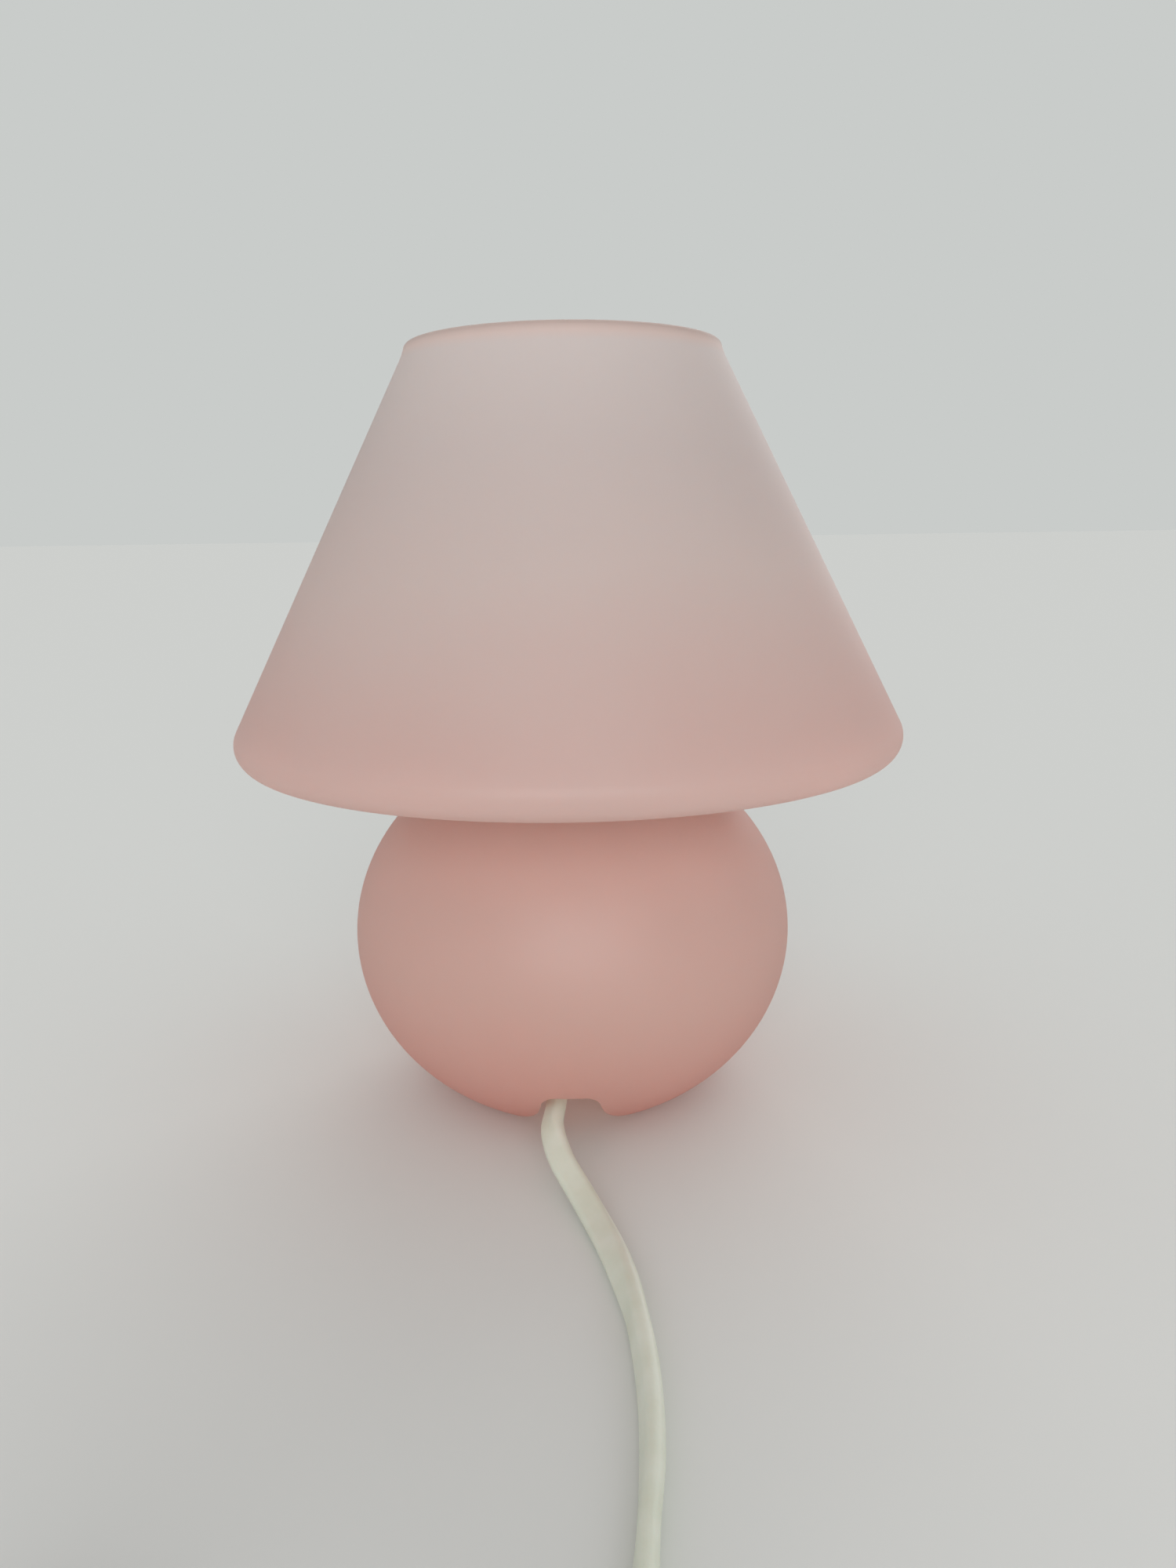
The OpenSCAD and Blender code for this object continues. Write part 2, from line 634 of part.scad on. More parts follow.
module bulb_insulator() {
    color(black_col) translate([0, 0, bulb_z + tip_h])
        cylinder(r1 = bulb_cap_r / 2, r2 = bulb_cap_r - shell_t, h = insulator_h);
}

module bulb_tip() {
    color(brass_col) translate([0, 0, bulb_z]) cylinder(r1 = tip_r, r2 = tip_foot_r, h = tip_h);
}

module bulb_stem() {
    color(frost_col) translate([0, 0, bulb_z]) revolve([[0, neck_low], [flare_r, neck_low],
        [flare_r, neck_low + flare_edge], [stem_r, neck_low + flare_h], [stem_r, stem_top], [0, stem_top]]);
}

module bulb_filament() {
    half = [[lead_x, 0, stem_top], [lead_x, 0, stem_top + 2], [5, 0, stem_top + 8],
        [filament_x, 0, globe_c[1] - 1], [6.4, 4.2, globe_c[1]]];
    other = [for (i = [len(half) - 1:-1:0]) [-half[i][0], half[i][1], half[i][2]]];
    color(steel_col) translate([0, 0, bulb_z])
        skin(swept(concat(half, [[0, 6, globe_c[1] + 0.4]], other), ring_section(wire_r, 6), [0, 1, 0]));
}

module cord_lead() {
    color(ivory_col) skin(swept(lead_route, cord_section, [1, 0, 0]));
}

module cord_link() {
    color(ivory_col) skin(swept(link_route, cord_section, [1, 0, 0]));
}

module cord_coil() {
    color(ivory_col) skin(coil_skin);
}

module cord_tail() {
    color(ivory_col) skin(swept(tail_route, cord_section, [1, 0, 0]));
}

// Band round the coil's far side
module cord_tie() {
    low = (coil_reach(coil_loops - 0.25) - cord_t / 2) * cos(180 / coil_rings) - tie_gap;
    high = coil_reach(0.75) + cord_t / 2 + tie_gap;
    tall = cord_w + layer_step + 2 * tie_gap;
    color(black_col) translate([coil_x, coil_y, tie_t]) difference() {
        across(tie_w, [[low - tie_t, -tie_t], [high + tie_t, -tie_t], [high + tie_t, tall + tie_t],
            [low - tie_t, tall + tie_t]]);
        across(tie_w + 2 * past, [[low, 0], [high, 0], [high, tall], [low, tall]]);
    }
}

module at_switch() {
    translate([switch_x, switch_y, 0]) children();
}

// Round-ended case form with one section all round
module pill(pts) {
    run = switch_l - switch_w;
    for (s = [-1, 1]) translate([0, s * run / 2, 0]) revolve(pts);
    rotate([90, 0, 0]) linear_extrude(run, center = true) union() {
        polygon(pts);
        mirror([1, 0]) polygon(pts);
    }
}

module cord_slot() {
    translate([0, 0, split_z])
        cube([cord_w + 2 * cord_gap, switch_l + 2 * past, cord_t + 2 * cord_gap], center = true);
}

module case_screw_places() {
    for (s = [-1, 1]) translate([s * case_screw_x, -s * case_screw_y, 0]) children();
}

// Ribs that grip the flex inside both ends of the case
module cord_ribs(z, h) {
    for (s = [-1, 1]) translate([0, s * rib_y, z + h / 2]) cube([2 * rib_half, rib_t, h], center = true);
}

module switch_lower_case() {
    half = switch_w / 2;
    rib_top = split_z - cord_t / 2 - cord_gap;
    color(white_col) at_switch() difference() {
        union() {
            difference() {
                pill([[0, 0], [half - foot_chamfer, 0], [half, foot_chamfer], [half, split_z], [0, split_z]]);
                pill([[0, case_t], [half - case_t, case_t], [half - case_t, split_z + past],
                    [0, split_z + past]]);
                cord_slot();
            }
            cord_ribs(case_t, rib_top - case_t);
            case_screw_places() cylinder(r = boss_r, h = split_z);
        }
        case_screw_places() translate([0, 0, -past]) cylinder(r = boss_bore, h = split_z + 2 * past);
        case_screw_places() translate([0, 0, -past])
            cylinder(r = head_r + fit_gap, h = head_h + fit_gap + past);
    }
}

module rocker_window() {
    translate([0, 0, switch_h - case_t / 2]) cube([rocker_w, 2 * rocker_reach, case_t + 2 * past]
        + [2 * swing_gap, 2 * swing_gap, 0], center = true);
}

module switch_upper_case() {
    half = switch_w / 2;
    crown_c = [half - crown_r, switch_h - crown_r];
    rib_low = split_z + cord_t / 2 + cord_gap;
    lug_x = rocker_w / 2 + swing_gap + lug_t / 2;
    lug_h = switch_h - pin_z + lug_drop - case_t / 2;
    color(white_col) at_switch() difference() {
        union() {
            difference() {
                pill(concat([[0, split_z], [half, split_z]], arc(crown_c, crown_r, 0, 90, edge_n),
                    [[0, switch_h]]));
                pill(concat([[0, split_z - past], [half - case_t, split_z - past]],
                    arc(crown_c, crown_r - case_t, 0, 90, edge_n), [[0, switch_h - case_t]]));
                cord_slot();
                rocker_window();
            }
            cord_ribs(rib_low, switch_h - case_t / 2 - rib_low);
            case_screw_places() translate([0, 0, split_z])
                cylinder(r = boss_r, h = switch_h - case_t / 2 - split_z);
            for (s = [-1, 1]) translate([s * lug_x, 0, pin_z - lug_drop + lug_h / 2])
                cube([lug_t, lug_w, lug_h], center = true);
        }
        case_screw_places() translate([0, 0, split_z - past])
            cylinder(r = screw_r + run_gap, h = switch_h - split_z - 1.5 * case_t + past);
        translate([0, 0, pin_z]) rotate([0, 90, 0])
            cylinder(r = pin_r + run_gap, h = 2 * lug_x + lug_t + 2 * past, center = true);
    }
}

module switch_case_screws() {
    color(steel_col) at_switch() case_screw_places() translate([0, 0, head_h])
        screw(switch_h - head_h - 2 * case_t);
}

// Frame of the rocker: its pin line, tipped to the off side
module on_pin() {
    at_switch() translate([0, 0, pin_z]) rotate([-rocker_tilt, 0, 0]) children();
}

module switch_rocker() {
    rise = rocker_dish + rocker_reach * tan(rocker_tilt);
    pin_l = rocker_w + 2 * lug_t;
    color(white_col) on_pin() difference() {
        union() {
            intersection() {
                rotate([0, 90, 0]) cylinder(r = rocker_reach, h = rocker_w, center = true);
                across(rocker_w, [[-rocker_reach, -skirt_drop], [rocker_reach, -skirt_drop],
                    [rocker_reach, rise], [0, rocker_dish], [-rocker_reach, rise]]);
            }
            translate([0, 0, -hub_drop]) cylinder(r = hub_r, h = hub_drop);
            rotate([0, 90, 0]) cylinder(r = pin_r, h = pin_l, center = true);
        }
        translate([0, 0, -hub_drop - past]) cylinder(r = plunger_r + fit_gap, h = hub_drop + bore_top + past);
    }
}

module switch_plunger() {
    color(brass_col) on_pin() {
        translate([0, 0, plunger_r - plunger_l])
            cylinder(r = plunger_r, h = spring_low - spring_wire - run_gap - plunger_r + plunger_l);
        translate([0, 0, plunger_r - plunger_l]) sphere(r = plunger_r);
    }
}

module switch_spring() {
    steps = spring_turns * 8;
    rise = (spring_high - spring_low) / steps;
    color(steel_col) on_pin() skin(swept([for (i = [0:steps]) let (a = 360 * spring_turns * i / steps)
        [spring_r * cos(a), spring_r * sin(a), spring_low + rise * i]],
        ring_section(spring_wire, 6), [0, 0, 1]));
}

module switch_blade() {
    color(brass_col) at_switch() translate([0, 0, ridge_z]) rotate([blade_tilt, 0, 0]) {
        translate([0, 0, blade_low + strip_t / 2]) cube([blade_w, 2 * blade_l, strip_t], center = true);
        translate([0, rivet_y, blade_low - rivet_h]) cylinder(r = rivet_r, h = rivet_h + strip_t / 2);
    }
}

// Foot plate of a terminal on the floor of the case, with its screw hole
module terminal_plate(y) {
    difference() {
        translate([-blade_w / 2, y - plate_half, case_t])
            cube([blade_w / 2 + terminal_x + head_r, 2 * plate_half, plate_h]);
        translate([terminal_x, y, case_t - past]) cylinder(r = screw_r + run_gap, h = plate_h + 2 * past);
    }
}

module switch_pivot_terminal() {
    base = case_t + plate_h / 2;
    color(brass_col) at_switch() {
        terminal_plate(0);
        across(blade_w, [[-rivet_r, base], [rivet_r, base], [ridge_r, ridge_z], [-ridge_r, ridge_z]]);
        translate([0, 0, ridge_z]) rotate([0, 90, 0]) cylinder(r = ridge_r, h = blade_w, center = true);
    }
}

module switch_fixed_terminal() {
    base = case_t + plate_h / 2;
    drop = (rivet_y + rivet_r) * sin(blade_tilt) + rivet_h - blade_low + 2 * run_gap;
    color(brass_col) at_switch() {
        terminal_plate(fixed_y);
        translate([0, rivet_y, base]) cylinder(r = rivet_r, h = ridge_z - drop - base);
    }
}

module switch_terminal_screws() {
    color(steel_col) at_switch() for (y = [0, fixed_y]) translate([terminal_x, y, case_t + plate_h])
        mirror([0, 0, 1]) screw(plate_h);
}

module switch_cores() {
    end_y = switch_end - sheath_in;
    start = core_r + fit_gap;
    low = case_t + plate_h + core_r + fit_gap;
    clear = head_r + core_r + fit_gap;
    color(ivory_col) at_switch() {
        skin(swept([[-start, end_y, split_z], [-start, end_y - 2, split_z], [-5, 12, 5.4], [-7.2, 6, 4.8],
            [-7.2, -6, 4.8], [-5, -12, 5.4], [-start, 2 - end_y, split_z], [-start, -end_y, split_z]],
            ring_section(core_r, 8), [1, 0, 0]));
        skin(swept([[start, end_y, split_z], [start, end_y - 2, split_z], [4.4, 15.4, 5.2],
            [terminal_x, fixed_y + clear + 2, low], [terminal_x, fixed_y + clear, low]],
            ring_section(core_r, 8), [1, 0, 0]));
        skin(swept([[terminal_x, -clear, low], [terminal_x, -clear - 3, low], [4.4, -12, 5],
            [start, 2 - end_y, split_z], [start, -end_y, split_z]], ring_section(core_r, 8), [1, 0, 0]));
    }
}

// Frame of the plug: front face at y = 0, pins towards +Y
module at_plug() {
    translate([plug_x, plug_y, plug_z]) children();
}

// Flat-sided round-ended section of the plug, standing across Y
module plug_slab(width, height, y, depth) {
    translate([0, y, 0]) rotate([90, 0, 0]) linear_extrude(depth) hull() for (s = [-1, 1])
        translate([s * (width - height) / 2, 0]) circle(d = height, $fn = 32);
}

module plug_body() {
    rib_step = relief_l / relief_ribs;
    relief = [for (i = [0:relief_ribs - 1]) let (r = relief_r - i * relief_taper, z = i * rib_step)
        each [[r, z], [r, z + rib_step * rib_share], [r - rib_deep, z + rib_step * rib_share],
            [r - rib_deep, z + rib_step]]];
    color(ivory_col) at_plug() difference() {
        union() {
            hull() {
                plug_slab(plug_w, plug_h, 0, plug_l / 3);
                plug_slab(plug_w / 2, plug_back_h, plug_back_l - plug_l, plug_back_l);
            }
            translate([0, -plug_l, 0]) rotate([90, 0, 0])
                revolve(concat([[0, -past], [relief_r, -past]], relief, [[0, relief_l]]));
        }
        translate([0, -plug_l - relief_l + sheath_in / 2, 0]) cube([cord_w + 2 * cord_gap,
            sheath_in + 2 * fit_gap + past, cord_t + 2 * cord_gap], center = true);
        for (s = [-1, 1]) translate([s * pin_gap / 2, past, 0]) rotate([90, 0, 0])
            cylinder(r = plug_pin_r, h = sleeve_l + past);
    }
}

module plug_sleeves() {
    color(black_col) at_plug() for (s = [-1, 1]) translate([s * pin_gap / 2, sleeve_l, 0]) rotate([90, 0, 0])
        washer(plug_pin_r - fit_gap - sleeve_t, plug_pin_r - fit_gap, 0, 2 * sleeve_l - fit_gap);
}

module plug_pins() {
    core = plug_pin_r - fit_gap - sleeve_t - run_gap;
    color(steel_col) at_plug() for (s = [-1, 1]) translate([s * pin_gap / 2, 0, 0]) rotate([-90, 0, 0])
        revolve([[0, fit_gap - sleeve_l], [core, fit_gap - sleeve_l], [core, sleeve_l],
            [plug_pin_r, sleeve_l], [plug_pin_r, plug_pin_l - plug_tip],
            [plug_pin_r - plug_tip / 2, plug_pin_l], [0, plug_pin_l]]);
}

glass_shell();
upper_gasket();
throat_plate();
upper_ring_nut();
lower_gasket();
clamp_washer();
lower_ring_nut();
holder_body();
contact_carrier();
screw_shell();
centre_contact();
terminal_blocks();
terminal_screws();
holder_cap();
grip_jaws();
grip_screws();
holder_cores();
bulb_globe();
bulb_cap();
bulb_insulator();
bulb_tip();
bulb_stem();
bulb_filament();
cord_lead();
cord_link();
cord_coil();
cord_tail();
cord_tie();
switch_lower_case();
switch_upper_case();
switch_case_screws();
switch_rocker();
switch_plunger();
switch_spring();
switch_blade();
switch_pivot_terminal();
switch_fixed_terminal();
switch_terminal_screws();
switch_cores();
plug_body();
plug_sleeves();
plug_pins();
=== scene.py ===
"""Mushroom table lamp: satin glass shell, lampholder, globe bulb, flat flex, rocker switch and plug."""

import json
import logging
import math
from dataclasses import dataclass
from enum import Enum
from typing import Any, Sequence

import bmesh
import bpy
from bmesh.types import BMEdge, BMesh, BMVert
from bpy.types import ID, Material, Mesh, Node, NodeSocket, NodeTree, Object
from mathutils import Matrix, Vector


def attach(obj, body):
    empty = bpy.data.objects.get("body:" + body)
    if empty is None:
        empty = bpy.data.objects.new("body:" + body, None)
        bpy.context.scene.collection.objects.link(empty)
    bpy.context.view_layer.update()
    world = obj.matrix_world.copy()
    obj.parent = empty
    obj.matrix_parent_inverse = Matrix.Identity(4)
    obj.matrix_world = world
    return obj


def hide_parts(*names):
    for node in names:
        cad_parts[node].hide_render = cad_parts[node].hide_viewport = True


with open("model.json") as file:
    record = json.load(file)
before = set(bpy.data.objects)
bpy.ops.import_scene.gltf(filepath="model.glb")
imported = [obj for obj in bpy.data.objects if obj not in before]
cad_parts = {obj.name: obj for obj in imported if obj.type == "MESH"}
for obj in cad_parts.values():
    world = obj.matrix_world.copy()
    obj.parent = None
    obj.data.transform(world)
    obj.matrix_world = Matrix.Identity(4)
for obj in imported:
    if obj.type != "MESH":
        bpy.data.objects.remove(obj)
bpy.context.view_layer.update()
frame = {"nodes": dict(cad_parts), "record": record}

MM = 0.001
# Lengths in millimetres under which points merge and edges dissolve
WELD = 0.001
SLIVER = 0.002
LOG = logging.getLogger("mushroom_lamp")
Point = Sequence[float]
Tints = tuple[tuple[float, str], ...]


class Body(Enum):
    """Bodies that the new pieces ride on."""

    LAMP = "lamp"
    ROCKER = "rocker"
    BULB = "bulb"


class Slot(Enum):
    """Material slots of the record."""

    GLASS = "satin_glass"
    RUBBER = "rubber"
    STEEL = "steel"
    WHITE = "white_plastic"
    CERAMIC = "ceramic"
    BRASS = "brass"
    BULB = "bulb_glass"
    BLACK = "black_insulation"
    FLEX = "flex"
    PLUG = "plug_plastic"


def linear(code: str) -> tuple[float, float, float, float]:
    """Turn an sRGB hex value into a linear colour.

    Args:
        code: Six hex digits.

    Returns:
        Linear red, green, blue and an alpha of 1.
    """
    parts = [int(code[i:i + 2], 16) / 255 for i in (0, 2, 4)]
    red, green, blue = (c / 12.92 if c <= 0.04045 else ((c + 0.055) / 1.055) ** 2.4 for c in parts)
    return red, green, blue, 1.0


def set_inputs(tree: NodeTree, node: Node, inputs: dict[str | int, Any]) -> None:
    """Give a node's inputs their values and links.

    Args:
        tree: Node tree that holds the node.
        node: The node.
        inputs: Sockets by name or number, each with a value or a socket to link from.
    """
    for key, value in inputs.items():
        if isinstance(value, NodeSocket):
            tree.links.new(value, node.inputs[key])
        else:
            node.inputs[key].default_value = value


def add_node(tree: NodeTree, kind: str, settings: dict[str, Any] | None = None,
             inputs: dict[str | int, Any] | None = None, stops: Sequence[tuple[float, str]] = ()) -> Node:
    """Add a shader node with its settings, values and links.

    Args:
        tree: Node tree that gets the node.
        kind: Node type without its ShaderNode prefix.
        settings: Attributes of the node.
        inputs: Input sockets by name or number, each with a value or a socket to link from.
        stops: Places from 0 to 1 with their sRGB hex values, where it is a colour ramp.

    Returns:
        The new node.
    """
    node = tree.nodes.new("ShaderNode" + kind)
    for name, value in (settings or {}).items():
        setattr(node, name, value)
    set_inputs(tree, node, inputs or {})
    if stops:
        elements = node.color_ramp.elements
        while len(elements) < len(stops):
            elements.new(1.0)
        for element, (place, code) in zip(elements, stops):
            element.position = place
            element.color = linear(code)
    return node


def per_mm(size: float) -> float:
    """Give the texture scale whose features are about this many millimetres wide."""
    return 1 / (size * MM)


@dataclass(frozen=True, kw_only=True)
class Surface:
    """What every finish has: a gloss that is uneven in soft clouds, and a faint grain.

    Attributes:
        name: Name of the material.
        cloud: Width of the clouds in millimetres.
        rough: Lowest and highest roughness.
        ior: Index of refraction, used where it is no metal.
        metal: Metallic share.
        grain: Width of the grain in millimetres, wider than the real one, which is too fine to show.
        relief: Strength of the grain's bump.
        scatter: Subsurface weight.
        depth: Subsurface depth in millimetres.
        gloss: Specular level.
        sheen: Sheen weight.
    """

    name: str
    cloud: float
    rough: tuple[float, float]
    ior: float = 1.5
    metal: float = 0.0
    grain: float
    relief: float
    scatter: float = 0.0
    depth: float = 1.0
    gloss: float = 0.5
    sheen: float = 0.0

    def tint(self, tree: NodeTree, place: NodeSocket, clouds: NodeSocket) -> NodeSocket:
        """Make the surface's colour, which each kind of finish does in its own way.

        Args:
            tree: Node tree of the material.
            place: Object coordinates.
            clouds: Pattern of the clouds.

        Returns:
            Socket with the colour.
        """
        raise NotImplementedError

    def material(self) -> Material:
        """Make the material once, and give it back on later calls.

        Returns:
            The material.
        """
        made = bpy.data.materials.get(self.name)
        if made:
            return made
        made = bpy.data.materials.new(self.name)
        made.use_nodes = True
        tree = made.node_tree
        place = add_node(tree, "TexCoord").outputs["Object"]
        clouds = add_node(tree, "TexNoise", inputs={
            "Vector": place, "Scale": per_mm(self.cloud), "Detail": 3.0, "Roughness": 0.5}).outputs["Fac"]
        grain = add_node(tree, "TexNoise", inputs={
            "Vector": place, "Scale": per_mm(self.grain), "Detail": 2.0, "Roughness": 0.6}).outputs["Fac"]
        rough = add_node(tree, "MapRange", inputs={
            "Value": clouds, "From Min": 0.25, "From Max": 0.75,
            "To Min": self.rough[0], "To Max": self.rough[1]}).outputs["Result"]
        bump = add_node(tree, "Bump", inputs={
            "Height": grain, "Strength": self.relief, "Distance": self.grain * MM}).outputs["Normal"]
        values = {
            "Base Color": self.tint(tree, place, clouds), "Roughness": rough, "Normal": bump,
            "Metallic": self.metal, "Specular IOR Level": self.gloss, "Sheen Weight": self.sheen,
            "Subsurface Weight": self.scatter, "Subsurface Scale": self.depth * MM,
            "Subsurface Radius": (1.0, 0.7, 0.6)}
        if not self.metal:
            values["IOR"] = self.ior
        set_inputs(tree, tree.nodes["Principled BSDF"], values)
        return made


@dataclass(frozen=True, kw_only=True)
class Finish(Surface):
    """A surface of one colour, a little darker in its clouds.

    Attributes:
        colour: sRGB hex value.
        shade: sRGB hex value of the darker clouds.
    """

    colour: str
    shade: str

    def tint(self, tree: NodeTree, place: NodeSocket, clouds: NodeSocket) -> NodeSocket:
        """Run from the darker to the lighter colour through the clouds.

        Args:
            tree: Node tree of the material.
            place: Object coordinates.
            clouds: Pattern of the clouds.

        Returns:
            Socket with the colour.
        """
        stops = ((0.3, self.shade), (0.7, self.colour))
        return add_node(tree, "ValToRGB", inputs={"Fac": clouds}, stops=stops).outputs["Color"]


@dataclass(frozen=True, kw_only=True)
class SatinGlass(Surface):
    """Acid-etched pink glass: milky, soft in gloss, rosier low down and in its depth, with painted light and
    shade in its height tints.

    Attributes:
        height: Height over which the tints run, in millimetres.
        tints: Heights in millimetres with the tint that the etched face sends back there; they hold painted
            light near the waist and up the shade, and painted shade at the rim.
        glow: Heights in millimetres with the tint of the light that comes through the wall there.
        veil: Share of the cloud pattern in the tints.
        calm: Heights in millimetres between which the clouds fade out, so that the rim's tint is even.
        through: Share of the light that goes through each face.
    """

    height: float = 200.0
    tints: Tints = (
        # Ball, from its rosy foot up to the waist; the lighter tints near the waist are painted light that
        # undoes the shade under the shade's overhang
        (0, "F4C1B6"), (42, "E9CFC6"), (60, "EBD2CA"), (78, "FADDD5"), (91, "F8D6CE"),
        # Shade, paler towards the rim: partly thinner colour in the wider blown glass, partly painted light
        # from the open top
        (96, "EDD0C9"), (108, "E5CEC8"), (145, "E3DAD6"), (170, "DAD4D2"), (195.5, "DAD5D3"),
        # Rim: a pink band, then a darker top line that is painted shade of the glass edge seen through its
        # thickness
        (198, "E2CAC1"), (199.3, "AE958C"))
    glow: Tints = (
        (0, "FAD9D1"), (45, "FAE3DC"), (80, "FBEAE5"), (110, "FBECE8"), (150, "FBF0ED"), (195, "FAF3F1"))
    veil: float = 0.05
    calm: tuple[float, float] = (165.0, 190.0)
    through: float = 0.55

    def tint(self, tree: NodeTree, place: NodeSocket, clouds: NodeSocket) -> NodeSocket:
        """Run the tints up the glass, stirred by the clouds, and let part of the light through.

        Args:
            tree: Node tree of the material.
            place: Object coordinates.
            clouds: Pattern of the clouds.

        Returns:
            Socket with the etched face's tint.
        """
        up = add_node(tree, "SeparateXYZ", inputs={"Vector": place}).outputs["Z"]
        share = add_node(tree, "MapRange", inputs={
            "Value": up, "From Min": 0.0, "From Max": self.height * MM}).outputs["Result"]
        drift = add_node(tree, "MapRange", inputs={
            "Value": clouds, "From Min": 0.2, "From Max": 0.8,
            "To Min": -self.veil, "To Max": self.veil}).outputs["Result"]
        fade = add_node(tree, "MapRange", inputs={
            "Value": up, "From Min": self.calm[0] * MM, "From Max": self.calm[1] * MM,
            "To Min": 1.0, "To Max": 0.0}).outputs["Result"]
        stirred = add_node(tree, "Math", {"operation": "MULTIPLY_ADD"}, {
            0: drift, 1: fade, 2: share}).outputs["Value"]
        face, glow = (
            add_node(tree, "ValToRGB", inputs={"Fac": stirred},
                     stops=[(z / self.height, code) for z, code in tints]).outputs["Color"]
            for tints in (self.tints, self.glow))
        lit_through = add_node(tree, "BsdfTranslucent", inputs={"Color": glow}).outputs["BSDF"]
        mix = add_node(tree, "MixShader", inputs={
            0: self.through, 1: tree.nodes["Principled BSDF"].outputs["BSDF"], 2: lit_through})
        set_inputs(tree, tree.nodes["Material Output"], {"Surface": mix.outputs["Shader"]})
        return face


FINISH_OF: dict[Slot, Surface] = {
    # Acid-etched soda glass: milky with a soft wide highlight, doubled because half of the mix has no gloss
    Slot.GLASS: SatinGlass(
        name="etched_pink_glass", cloud=70, rough=(0.42, 0.5), ior=1.52, grain=1.2, relief=0.015, scatter=0.4,
        depth=3.0, gloss=1.0, sheen=0.05),
    # Extruded soft PVC sheath: pale greenish ivory with a dull wax gloss
    Slot.FLEX: Finish(
        name="extruded_ivory_sheath", colour="E6EADC", shade="DCE1CF", cloud=9, rough=(0.38, 0.5), ior=1.53,
        grain=1.6, relief=0.05, scatter=0.2, depth=1.2),
    # Moulded urea plastic: bright white with a hard gloss
    Slot.WHITE: Finish(
        name="moulded_white_plastic", colour="ECEBE6", shade="E4E3DD", cloud=14, rough=(0.24, 0.34), ior=1.54,
        grain=0.5, relief=0.03),
    # Moulded PVC plug: ivory with a fine spark-eroded grain
    Slot.PLUG: Finish(
        name="moulded_ivory_plug", colour="DEE2D3", shade="D5DAC8", cloud=10, rough=(0.36, 0.48), ior=1.53,
        grain=0.4, relief=0.12),
    # Zinc-plated steel: cool grey with a cloudy plated sheen
    Slot.STEEL: Finish(
        name="zinc_plated_steel", colour="C8CACD", shade="BDC0C4", cloud=3, rough=(0.26, 0.33), metal=1.0,
        grain=0.4, relief=0.02),
    # Stamped brass strip: warm yellow, slightly dulled
    Slot.BRASS: Finish(
        name="stamped_brass", colour="D8B468", shade="C09A4E", cloud=4, rough=(0.24, 0.4), metal=1.0,
        grain=0.3, relief=0.05),
    # Moulded rubber: near black and matt
    Slot.RUBBER: Finish(
        name="moulded_rubber", colour="2C2C2D", shade="222223", cloud=6, rough=(0.68, 0.82), ior=1.52,
        grain=0.3, relief=0.2),
    # Pressed ceramic: off-white, dry and finely pored
    Slot.CERAMIC: Finish(
        name="pressed_ceramic", colour="DDD6C8", shade="D2CABA", cloud=5, rough=(0.5, 0.65), ior=1.58,
        grain=0.4, relief=0.2),
    # Frosted bulb glass: white inside coating behind smooth glass
    Slot.BULB: Finish(
        name="frosted_bulb_glass", colour="F0EFEA", shade="E9E8E1", cloud=20, rough=(0.12, 0.2),
        grain=2.0, relief=0.01, scatter=0.5, depth=3.0),
    # Black glass and nylon insulation: dark with a dull gloss
    Slot.BLACK: Finish(
        name="black_insulation", colour="26262A", shade="1E1E21", cloud=5, rough=(0.4, 0.55), ior=1.53,
        grain=0.4, relief=0.1)}


def polar(angle: float) -> Vector:
    """Give the unit vector at an angle in degrees, as radius and height."""
    return Vector((math.cos(math.radians(angle)), math.sin(math.radians(angle))))


def bearing(v: Vector) -> float:
    """Give the angle of a vector of radius and height, in degrees."""
    return math.degrees(math.atan2(v[1], v[0]))


def quarter(radius: float, steps: int) -> list[tuple[float, float]]:
    """Give the points of a quarter round as their insets from its first and from its second side.

    Args:
        radius: Radius of the round.
        steps: Edges of the round.

    Returns:
        The points, from the first side to the second.
    """
    turns = [math.pi / 2 * k / steps for k in range(steps + 1)]
    return [(radius * (1 - math.cos(a)), radius * (1 - math.sin(a))) for a in turns]


def only(geom: Sequence[Any], kind: type) -> list[Any]:
    """Pick the elements of one kind from what an operator gave back."""
    return [e for e in geom if isinstance(e, kind)]


def outward(bm: BMesh) -> BMesh:
    """Turn all faces outwards, and give the bmesh back."""
    bmesh.ops.recalc_face_normals(bm, faces=bm.faces)
    return bm


def sharp_edges(bm: BMesh, angle: float) -> list[BMEdge]:
    """List the edges whose two faces meet at more than an angle in degrees."""
    return [e for e in bm.edges if len(e.link_faces) == 2 and e.calc_face_angle() > math.radians(angle)]


def rounded(bm: BMesh, geom: Sequence[BMVert | BMEdge], radius: float, segments: int = 3) -> None:
    """Round some corners of a flat outline, or some edges of a solid.

    Args:
        bm: Bmesh that holds them.
        geom: Vertices or edges, all of one kind.
        radius: Length that a round takes from each side.
        segments: Edges or faces across a round.
    """
    affect = "VERTICES" if isinstance(geom[0], BMVert) else "EDGES"
    bmesh.ops.bevel(bm, geom=list(geom), offset=radius, offset_type="OFFSET", affect=affect,
                    segments=segments, profile=0.5, material=-1)


def rounded_ring(corners: Sequence[Point], radius: float, segments: int) -> BMesh:
    """Make a ring of edges with rounded corners.

    Args:
        corners: Its corners in turn.
        radius: Radius of the corners.
        segments: Edges of each round.

    Returns:
        Bmesh of the ring.
    """
    bm = bmesh.new()
    verts = [bm.verts.new(corner) for corner in corners]
    for a, b in zip(verts, verts[1:] + verts[:1]):
        bm.edges.new((a, b))
    rounded(bm, verts, radius, segments)
    return bm


